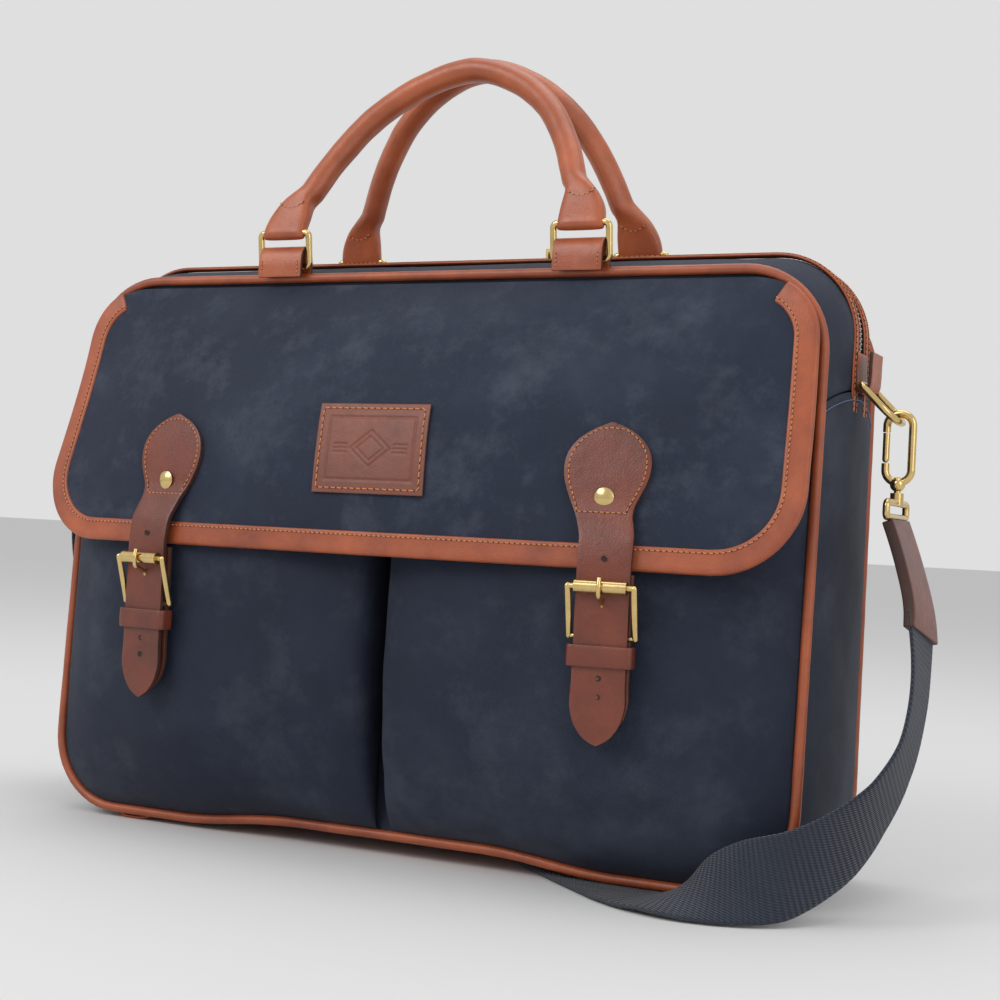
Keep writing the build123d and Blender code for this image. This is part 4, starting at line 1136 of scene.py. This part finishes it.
def foot_sections(place, side, end):
    """Sections from the round grip down to the flat fold round the ring's bar."""
    count = len(end)
    low = []
    for s, half, thick, shift in ((19.0, 8.3, 6.0, 3.2), (14.5, 10.2, 5.1, 2.0), (10.0, 11.7, 4.5, 1.0),
                                  (5.5, 12.4, 4.1, 0.3), (1.0, 12.6, 3.9, 0.0), (-1.6, 12.6, 3.6, 0.0),
                                  (-3.1, 12.6, 2.5, 0.0), (-3.8, 12.5, 0.9, 0.0)):
        ring = []
        for k in range(count):
            angle = 2 * math.pi * k / count
            c, sn = math.cos(angle), math.sin(angle)
            power = 0.55
            out = math.copysign(abs(c) ** power, c) * thick
            across = math.copysign(abs(sn) ** power, sn) * half
            ring.append((out, across))
        low.append((s, shift, ring))
    rows = []
    for s, shift, ring in low:
        rows.append([place(side * (LOOP_X - shift) + across, s, out)
                     for out, across in ring])
    start = np.array([tuple(p) for p in end])
    best = None
    for flip in (1, -1):
        for roll in range(count):
            trial = np.roll(np.array([tuple(p) for p in rows[0]])[::flip], roll, axis=0)
            gap = float(np.sum((trial - start) ** 2))
            if best is None or gap < best[0]:
                best = (gap, flip, roll)
    _, flip, roll = best
    return [list(map(Vector, np.roll(np.array([tuple(p) for p in row])[::flip], roll, axis=0)))
            for row in rows]


def make_handle_loops(name, middle):
    """Folded leather loops, sewn into the seam at the foot."""
    for side in (-1, 1):
        arch = [(-5.2, 297.2), (-5.3, 301.0), (-5.1, 306.0), (-4.0, 310.6), (-1.6, 313.1),
                (1.6, 313.1), (4.0, 310.6), (5.1, 306.0), (5.3, 301.0), (5.2, 298.2)]
        line = spline(arch, 30)
        rows = [[Vector((side * LOOP_X + x, middle + a + 0.15 * ripple((x, a, z), 7, 90), z))
                 for a, z in line] for x in np.linspace(-LOOP_W / 2 - 0.8, LOOP_W / 2 + 0.8, 13)]
        piece = link(f"{name}_loop_leather_{side + 1}",
                     grid_mesh(f"{name}_loop_leather_{side + 1}", rows), [HANDLE_TAN, EDGE], "bag",
                     [f"{name}_handle_loops"])
        thicken(piece, 1.9, 0.0, rim=1, smooth_level=0, bevel=0.3)
        for edge in (-1, 1):
            x = side * LOOP_X + edge * (LOOP_W / 2 - 1.4)
            seam = [Vector((x, middle - 6.2, z)) for z in np.linspace(299, 305.5, 8)]
            stitch_row(f"{name}_loop_stitches_{side + 1}_{edge + 1}", seam, [(0, -1, 0)] * 8, "bag",
                       2.4, radius=0.32)


# ---------------------------------------------------------------- sides, base and strap
def make_side_loops():
    for side in (-1, 1):
        arch = [(224.6, 262.0), (224.4, 256.0), (224.3, 250.0), (223.4, 244.6), (220.6, 242.6),
                (217.9, 244.6), (217.3, 250.0), (217.2, 262.0)]
        line = spline(arch, 30)
        rows = [[Vector((side * x, 28.0 + y, z)) for x, z in line]
                for y in np.linspace(-10, 10, 11)]
        if side < 0:
            rows = rows[::-1]
        piece = link(f"side_loop_leather_{side + 1}", grid_mesh(f"side_loop_leather_{side + 1}", rows),
                     [TAN, EDGE], "bag", ["side_loops"])
        thicken(piece, 1.8, 0.0, rim=1, smooth_level=0, bevel=0.3)


def make_base():
    """Leather panel under the bottom, between the pipings."""
    spots = [(168, 10.0), (168.2, 3.0), (166.5, 0.8), (163, 0.05), (155, 0.05), (150.8, 0.6),
             (146, 2.4), (110, 4.8), (55, 7.6), (0, 7.6)]
    right = even(spots, 60)
    line = np.r_[right, np.c_[-right[-2::-1, 0], right[-2::-1, 1]]]
    rows = [[Vector((x, y, z + (0.12 * ripple((x, y, 0), 20, 95) if z > 1 else 0.0)))
             for x, z in line] for y in np.linspace(FRONT_FOOT_Y + 1.6, REAR_Y - 1.6, 24)]
    piece = link("base_leather", grid_mesh("base_leather", rows), TAN, "bag",
                 ["base_panel"])
    thicken(piece, 1.4, -1.0, smooth_level=0)


def strap_line():
    """Points read from the smooth line that the route's control points make."""
    curve = bpy.data.curves.new("strap_route", "CURVE")
    curve.dimensions = "3D"
    route = curve.splines.new("NURBS")
    route.points.add(len(STRAP_ROUTE) - 1)
    for point, (place, _) in zip(route.points, STRAP_ROUTE):
        point.co = (*place, 1.0)
    route.order_u = 3
    route.use_endpoint_u = True
    route.resolution_u = 8
    holder = bpy.data.objects.new("strap_route", curve)
    bpy.context.scene.collection.objects.link(holder)
    bpy.context.view_layer.update()
    graph = bpy.context.evaluated_depsgraph_get()
    mesh = bpy.data.meshes.new_from_object(holder.evaluated_get(graph))
    line = np.array([tuple(v.co) for v in mesh.vertices]) / MM
    bpy.data.objects.remove(holder)
    return line


def across_at(line):
    """The webbing's direction across at each point of its line."""
    middles = np.array([place for place, _ in STRAP_ROUTE]) / MM
    steps = np.r_[0, np.cumsum(np.linalg.norm(np.diff(middles, axis=0), axis=1))]
    sides = np.array([side for _, side in STRAP_ROUTE])
    walked = np.r_[0, np.cumsum(np.linalg.norm(np.diff(line, axis=0), axis=1))]
    walked = walked / walked[-1] * steps[-1]
    result = np.stack([np.interp(walked, steps, sides[:, i]) for i in range(3)], 1)
    ahead = np.gradient(line, axis=0)
    ahead /= np.linalg.norm(ahead, axis=1)[:, None]
    result -= ahead * np.sum(result * ahead, axis=1)[:, None]
    return ahead, result / np.linalg.norm(result, axis=1)[:, None]


def webbing_mesh(name, line, across, ahead):
    out = np.cross(ahead, across)
    half, thick = WEB_W / 2 - 0.2, WEB_T / 2
    section = [(-half, 0.0), (-half + 0.5, thick * 0.8)]
    section += [(x, thick) for x in np.linspace(-half + 1.6, half - 1.6, 9)]
    section += [(half - 0.5, thick * 0.8), (half, 0.0), (half - 0.5, -thick * 0.8)]
    section += [(x, -thick) for x in np.linspace(half - 1.6, -half + 1.6, 9)]
    section += [(-half + 0.5, -thick * 0.8)]
    rows = [[spot + side * x + normal * h for x, h in section]
            for spot, side, normal in zip(line, across, out)]
    return grid_mesh(name, rows, close_columns=True, caps=True)


def make_shoulder_strap():
    line = even(strap_line(), 300)
    ahead, across = across_at(line)
    mesh = webbing_mesh("shoulder_webbing", line, across, ahead)
    piece = link("shoulder_webbing", mesh, WEBBING, "bag", ["strap_webbing"])
    tab = make_end_tab(line, across)
    end = make_doubled_end()
    return piece


def make_end_tab(line, across):
    """Two plies of leather sewn over the webbing's end."""
    spots = [(237.6, 28.0, 181.5), (240.5, 28.0, 174.0), (245.5, 27.2, 160.0),
             tuple(line[0]), tuple(line[3])]
    path = spline(spots, 40)
    _, out, _ = frames_along(path, (0, -1, 0))
    rows = []
    for i, spot in enumerate(path):
        blend = i / (len(path) - 1)
        side = Vector(out[i]).lerp(Vector(across[0]), blend ** 1.5).normalized()
        half = WEB_W / 2 - 0.3
        rows.append([Vector(spot) + side * x for x in np.linspace(-half, half, 13)])
    piece = link("strap_end_leather", grid_mesh("strap_end_leather", rows), [BROWN, EDGE], "bag",
                 ["strap_end_tab"])
    thicken(piece, 5.4, 0.0, rim=1, smooth_level=0, bevel=0.6)
    return piece


def make_doubled_end():
    stations = []
    for i in range(RETURN_FROM, RETURN_TO):
        place, side = STRAP_ROUTE[i]
        ahead = Vector(STRAP_ROUTE[i + 1][0]) - Vector(STRAP_ROUTE[i - 1][0])
        out = ahead.cross(Vector(side)).normalized()
        stations.append((np.array(Vector(place) - out * RETURN_GAP) / MM, side))
    stations.append((np.array(RETURN_TOP[0]) / MM, RETURN_TOP[1]))
    line = spline([place for place, _ in stations], 60)
    ahead = np.gradient(line, axis=0)
    ahead /= np.linalg.norm(ahead, axis=1)[:, None]
    places = np.linspace(0, 59, len(stations))
    sides = np.array([side for _, side in stations])
    across = np.stack([np.interp(np.arange(60), places, sides[:, i]) for i in range(3)], 1)
    across -= ahead * np.sum(across * ahead, axis=1)[:, None]
    across /= np.linalg.norm(across, axis=1)[:, None]
    mesh = webbing_mesh("webbing_doubled_end", line, across, ahead)
    return link("webbing_doubled_end", mesh, WEBBING, "bag", ["strap_webbing_end"])


def finish_cad_nodes():
    """Carried-over hardware and inner parts get their own materials."""
    for name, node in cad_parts.items():
        if node.hide_render:
            continue
        material = BRASS
        if name == "base_board":
            material = EDGE
        node.data.materials.clear()
        node.data.materials.append(material)


make_gussets()
make_zip()
make_panels()
make_lining()
make_piping()
make_pockets()
make_flap()
make_binding()
make_patch()
for side, name in ((-1, "left"), (1, "right")):
    strap = make_strap(side, name)
    make_backing(side, name)
    make_keeper(side, name)
    make_strap_hole_shade(side, name)
    if side > 0:
        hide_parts("strap_tabs")
for row in HANDLE_ROWS:
    make_handle(*row)
    make_handle_loops(row[0], row[1])
make_side_loops()
make_base()
make_shoulder_strap()
finish_cad_nodes()
